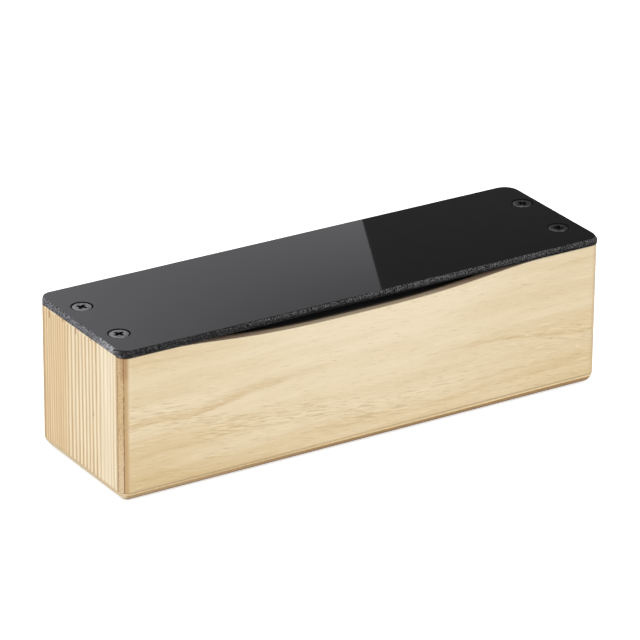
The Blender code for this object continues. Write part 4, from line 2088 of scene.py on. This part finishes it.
@dataclass
class Studio:
    """White floor and surround, soft boxes, a camera, and the cards that the plate mirrors."""

    sizes: ShakerSizes
    aim: Vector = field(default_factory=lambda: Vector((0.009074, 0.016811, 0.028)))
    distance: float = 1.63432
    azimuth: float = math.radians(-32.158)
    elevation: float = math.radians(23.713)
    roll: float = math.radians(0.466)
    lens: float = 252.71
    sensor: float = 36.0
    clip: Pair = (0.05, 30.0)
    floor_half: float = 4.0
    floor_colour: Colour = (0.80, 0.80, 0.80, 1.0)
    floor_glow: float = 0.62
    ambient: float = 0.50
    card_distance: float = 0.55
    card_foot: float = 0.06
    card_head: float = 0.55
    card_width: float = 0.45
    card_steps: int = 60
    card_tint: Colour = (1.0, 0.995, 1.045, 1.0)
    card_low: float = 0.7
    card_high: float = 1.2
    mirror_edge: tuple[Pair, Pair] = ((0.0343, 0.0285), (0.0057, -0.0292))
    card_levels: tuple[Mirrored, ...] = (
        Mirrored((-0.080, 0.024), 0.725),
        Mirrored((0.020, 0.024), 0.665),
        Mirrored((-0.080, -0.024), 0.585),
        Mirrored((0.000, -0.024), 0.430),
    )
    flag_levels: tuple[Mirrored, ...] = (
        Mirrored((0.040, 0.024), 0.076),
        Mirrored((0.080, 0.024), 0.078),
        Mirrored((0.020, -0.024), 0.052),
        Mirrored((0.080, -0.024), 0.052),
    )
    lamps: tuple[Lamp, ...] = (
        Lamp("key", (-1.47, -1.03, 1.15), 1.1, 18.3),
        Lamp("over", (0.10, -0.15, 1.55), 1.2, 7.0),
        Lamp("fill", (1.10, -1.25, 0.75), 1.0, 4.0),
        Lamp("back", (-0.20, 1.70, 1.00), 1.0, 9.0),
        Lamp("right", (1.75, 0.25, 0.90), 1.0, 7.0),
    )

    def back_direction(self) -> Vector:
        """Give the direction from the shaker to the camera."""
        flat = Vector((math.sin(self.azimuth), -math.cos(self.azimuth), 0.0)) * math.cos(self.elevation)
        return flat + Vector((0.0, 0.0, math.sin(self.elevation)))

    def camera_place(self) -> Vector:
        """Give the camera's place."""
        return self.aim + self.back_direction() * self.distance

    def make_camera(self) -> None:
        """Set the camera at the photograph's viewing angle."""
        back = self.back_direction()
        right = Vector((0.0, 0.0, 1.0)).cross(back).normalized()
        up = back.cross(right)
        leaned = math.cos(self.roll) * right + math.sin(self.roll) * up
        raised = math.cos(self.roll) * up - math.sin(self.roll) * right
        data = bpy.data.cameras.new("studio_camera")
        data.lens = self.lens
        data.sensor_width = self.sensor
        data.clip_start, data.clip_end = self.clip
        camera = link_new(data.name, data)
        turned = Matrix((leaned, raised, back)).transposed().to_4x4()
        camera.matrix_world = Matrix.Translation(self.camera_place()) @ turned
        bpy.context.scene.camera = camera

    @staticmethod
    def seen_directly(graph: Graph) -> Socket:
        """Tell rays that show a surface from those that only light the shaker.

        Args:
            graph: The graph of the surface or the world.

        Returns:
            1 for rays from the camera, and for mirrored and transmitted ones.
        """
        path = graph.node("ShaderNodeLightPath").outputs
        mirrored = graph.math("MAXIMUM", path["Is Glossy Ray"], path["Is Transmission Ray"])
        return graph.math("MAXIMUM", path["Is Camera Ray"], mirrored)

    def make_surround(self) -> None:
        """Make the world: white to the camera and to mirrors, and a plain soft light on the shaker."""
        world = bpy.data.worlds.new("white_surround")
        world.use_nodes = True
        bpy.context.scene.world = world
        graph = Graph(world.node_tree)
        background = world.node_tree.nodes["Background"]
        background.inputs["Color"].default_value = WHITE
        strength = graph.math("MULTIPLY_ADD", self.seen_directly(graph), 1.0 - self.ambient, self.ambient)
        graph.feed(background.inputs["Strength"], strength)

    def make_floor(self) -> None:
        """Lay the white floor, which keeps the shaker's shadow."""
        reach = self.floor_half
        mesh = bpy.data.meshes.new("floor")
        corners = [(-reach, -reach, 0), (reach, -reach, 0), (reach, reach, 0), (-reach, reach, 0)]
        mesh.from_pydata(corners, [], [range(len(corners))])
        material, graph = blank_material("white_floor")
        shader = graph.tree.nodes["Principled BSDF"]
        shader.inputs["Base Color"].default_value = self.floor_colour
        shader.inputs["Roughness"].default_value = 1.0
        shader.inputs["Specular IOR Level"].default_value = 0.0
        shader.inputs["Emission Color"].default_value = WHITE
        glow = graph.product(self.seen_directly(graph), self.floor_glow)
        graph.feed(shader.inputs["Emission Strength"], glow)
        mesh.materials.append(material)
        link_new("floor", mesh)

    def make_lamps(self) -> None:
        """Hang the soft boxes."""
        for lamp in self.lamps:
            data = bpy.data.lights.new(lamp.name, "AREA")
            data.shape = "SQUARE"
            data.size = lamp.size
            data.energy = lamp.power
            made = link_new(lamp.name, data)
            made.location = lamp.place
            made.rotation_mode = "QUATERNION"
            made.rotation_quaternion = (self.aim - Vector(lamp.place)).to_track_quat("-Z", "Y")
            made.visible_camera = False
            made.visible_glossy = False

    def card_point(self, spot: Pair) -> Vector:
        """Give the point behind the shaker that a spot on the plate mirrors to the camera.

        Args:
            spot: Place on the plate's top.

        Returns:
            The point on the upright plane of the cards.
        """
        eye = self.camera_place()
        below = Vector((eye.x, eye.y, 2 * self.sizes.plate_top - eye.z))
        ahead = -self.back_direction()
        ahead.z = 0.0
        ahead.normalize()
        through = Vector((*spot, self.sizes.plate_top)) - below
        reach = (self.aim + ahead * self.card_distance - below).dot(ahead) / through.dot(ahead)
        return below + through * reach

    def make_cards(self) -> None:
        """Stand a grey card and a dark flag so that the plate mirrors their shared edge."""
        rear, front = (self.card_point(spot) for spot in self.mirror_edge)
        slope = (rear - front) / (rear.z - front.z)
        low = front + slope * (self.card_foot - front.z)
        high = front + slope * (self.card_head - front.z)
        across = Vector((math.cos(self.azimuth), math.sin(self.azimuth), 0.0)) * self.card_width
        self.make_card("grey_card", (low, high), -across, self.card_levels, self.card_tint)
        self.make_card("dark_flag", (low, high), across, self.flag_levels, WHITE)

    @staticmethod
    def slope_terms(point: Vector, level_way: Vector) -> Vector:
        """Give the terms of a twisted slope at a point on a card."""
        aside = point.dot(level_way)
        return Vector((aside, point.z, aside * point.z, 1.0))

    def make_card(self, name: str, edge: tuple[Vector, Vector], sideways: Vector,
                  levels: Sequence[Mirrored], tint: Colour) -> None:
        """Make one card that only mirrors see, its brightness a twisted slope through four levels.

        Args:
            name: Its name.
            edge: Lower and upper end of the shared edge.
            sideways: Where the far edge lies from the shared one.
            levels: Four brightnesses, by the spots that mirror them.
            tint: Its colour.
        """
        level_way = sideways.normalized()
        rows = [self.slope_terms(self.card_point(item.spot), level_way) for item in levels]
        slope = Matrix(rows).inverted() @ Vector([item.level for item in levels])
        dimmest, brightest = (pick(item.level for item in levels) for pick in (min, max))
        steps = self.card_steps
        points, glows = [], []
        for row in range(steps + 1):
            for column in range(steps + 1):
                point = edge[0].lerp(edge[1], row / steps) + sideways * (column / steps)
                glow = slope.dot(self.slope_terms(point, level_way))
                points.append(point)
                glows.append(min(max(glow, dimmest * self.card_low), brightest * self.card_high))
        faces = []
        for row in range(steps):
            for column in range(steps):
                corner = row * (steps + 1) + column
                faces.append((corner, corner + 1, corner + steps + 2, corner + steps + 1))
        mesh = bpy.data.meshes.new(name)
        mesh.from_pydata(points, [], faces)
        mesh.attributes.new("glow", "FLOAT", "POINT").data.foreach_set("value", glows)
        material, graph = blank_material(name)
        graph.tree.nodes.remove(graph.tree.nodes["Principled BSDF"])
        level = graph.node("ShaderNodeAttribute", attribute_name="glow").outputs["Fac"]
        light = graph.node("ShaderNodeEmission", {"Color": tint, "Strength": level})
        graph.feed(graph.tree.nodes["Material Output"].inputs["Surface"], light.outputs[0])
        mesh.materials.append(material)
        card = link_new(name, mesh)
        for ray in ("camera", "diffuse", "shadow", "transmission", "volume_scatter"):
            setattr(card, f"visible_{ray}", False)

    def build(self) -> None:
        """Set the whole studio up."""
        bpy.context.scene.view_settings.view_transform = "Standard"
        self.make_camera()
        self.make_surround()
        self.make_floor()
        self.make_lamps()
        self.make_cards()


def main() -> None:
    """Dress the shaker piece by piece, then set the studio up."""
    logging.basicConfig(level=logging.INFO, format="%(name)s: %(message)s")
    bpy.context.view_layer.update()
    sizes = ShakerSizes()
    effects = Effects()
    SidePanels(sizes).build({
        Side.FRONT: PlywoodFinish("front_plywood", FRONT_STREAKS).build(effects),
        Side.REAR: PlywoodFinish("rear_plywood", REAR_STREAKS).build(effects),
    })
    BaseBoard(sizes).build(BasePlyFinish().build(effects))
    screws = Screws(sizes)
    EndBlocks(sizes).build(screws, SoftwoodFinish().build(effects))
    recess = RecessShadeFinish().build(effects)
    TopPlate(sizes).build(screws, GlossPlateFinish().build(effects), SawnEdgeFinish().build(effects), recess)
    screws.build(BlackScrewFinish().build(effects), recess)
    ChamberCover().build(BlackBoardFinish().build(effects))
    LooseShot().build(SteelShotFinish().build(effects))
    Studio(sizes).build()


if __name__ == "__main__":
    main()
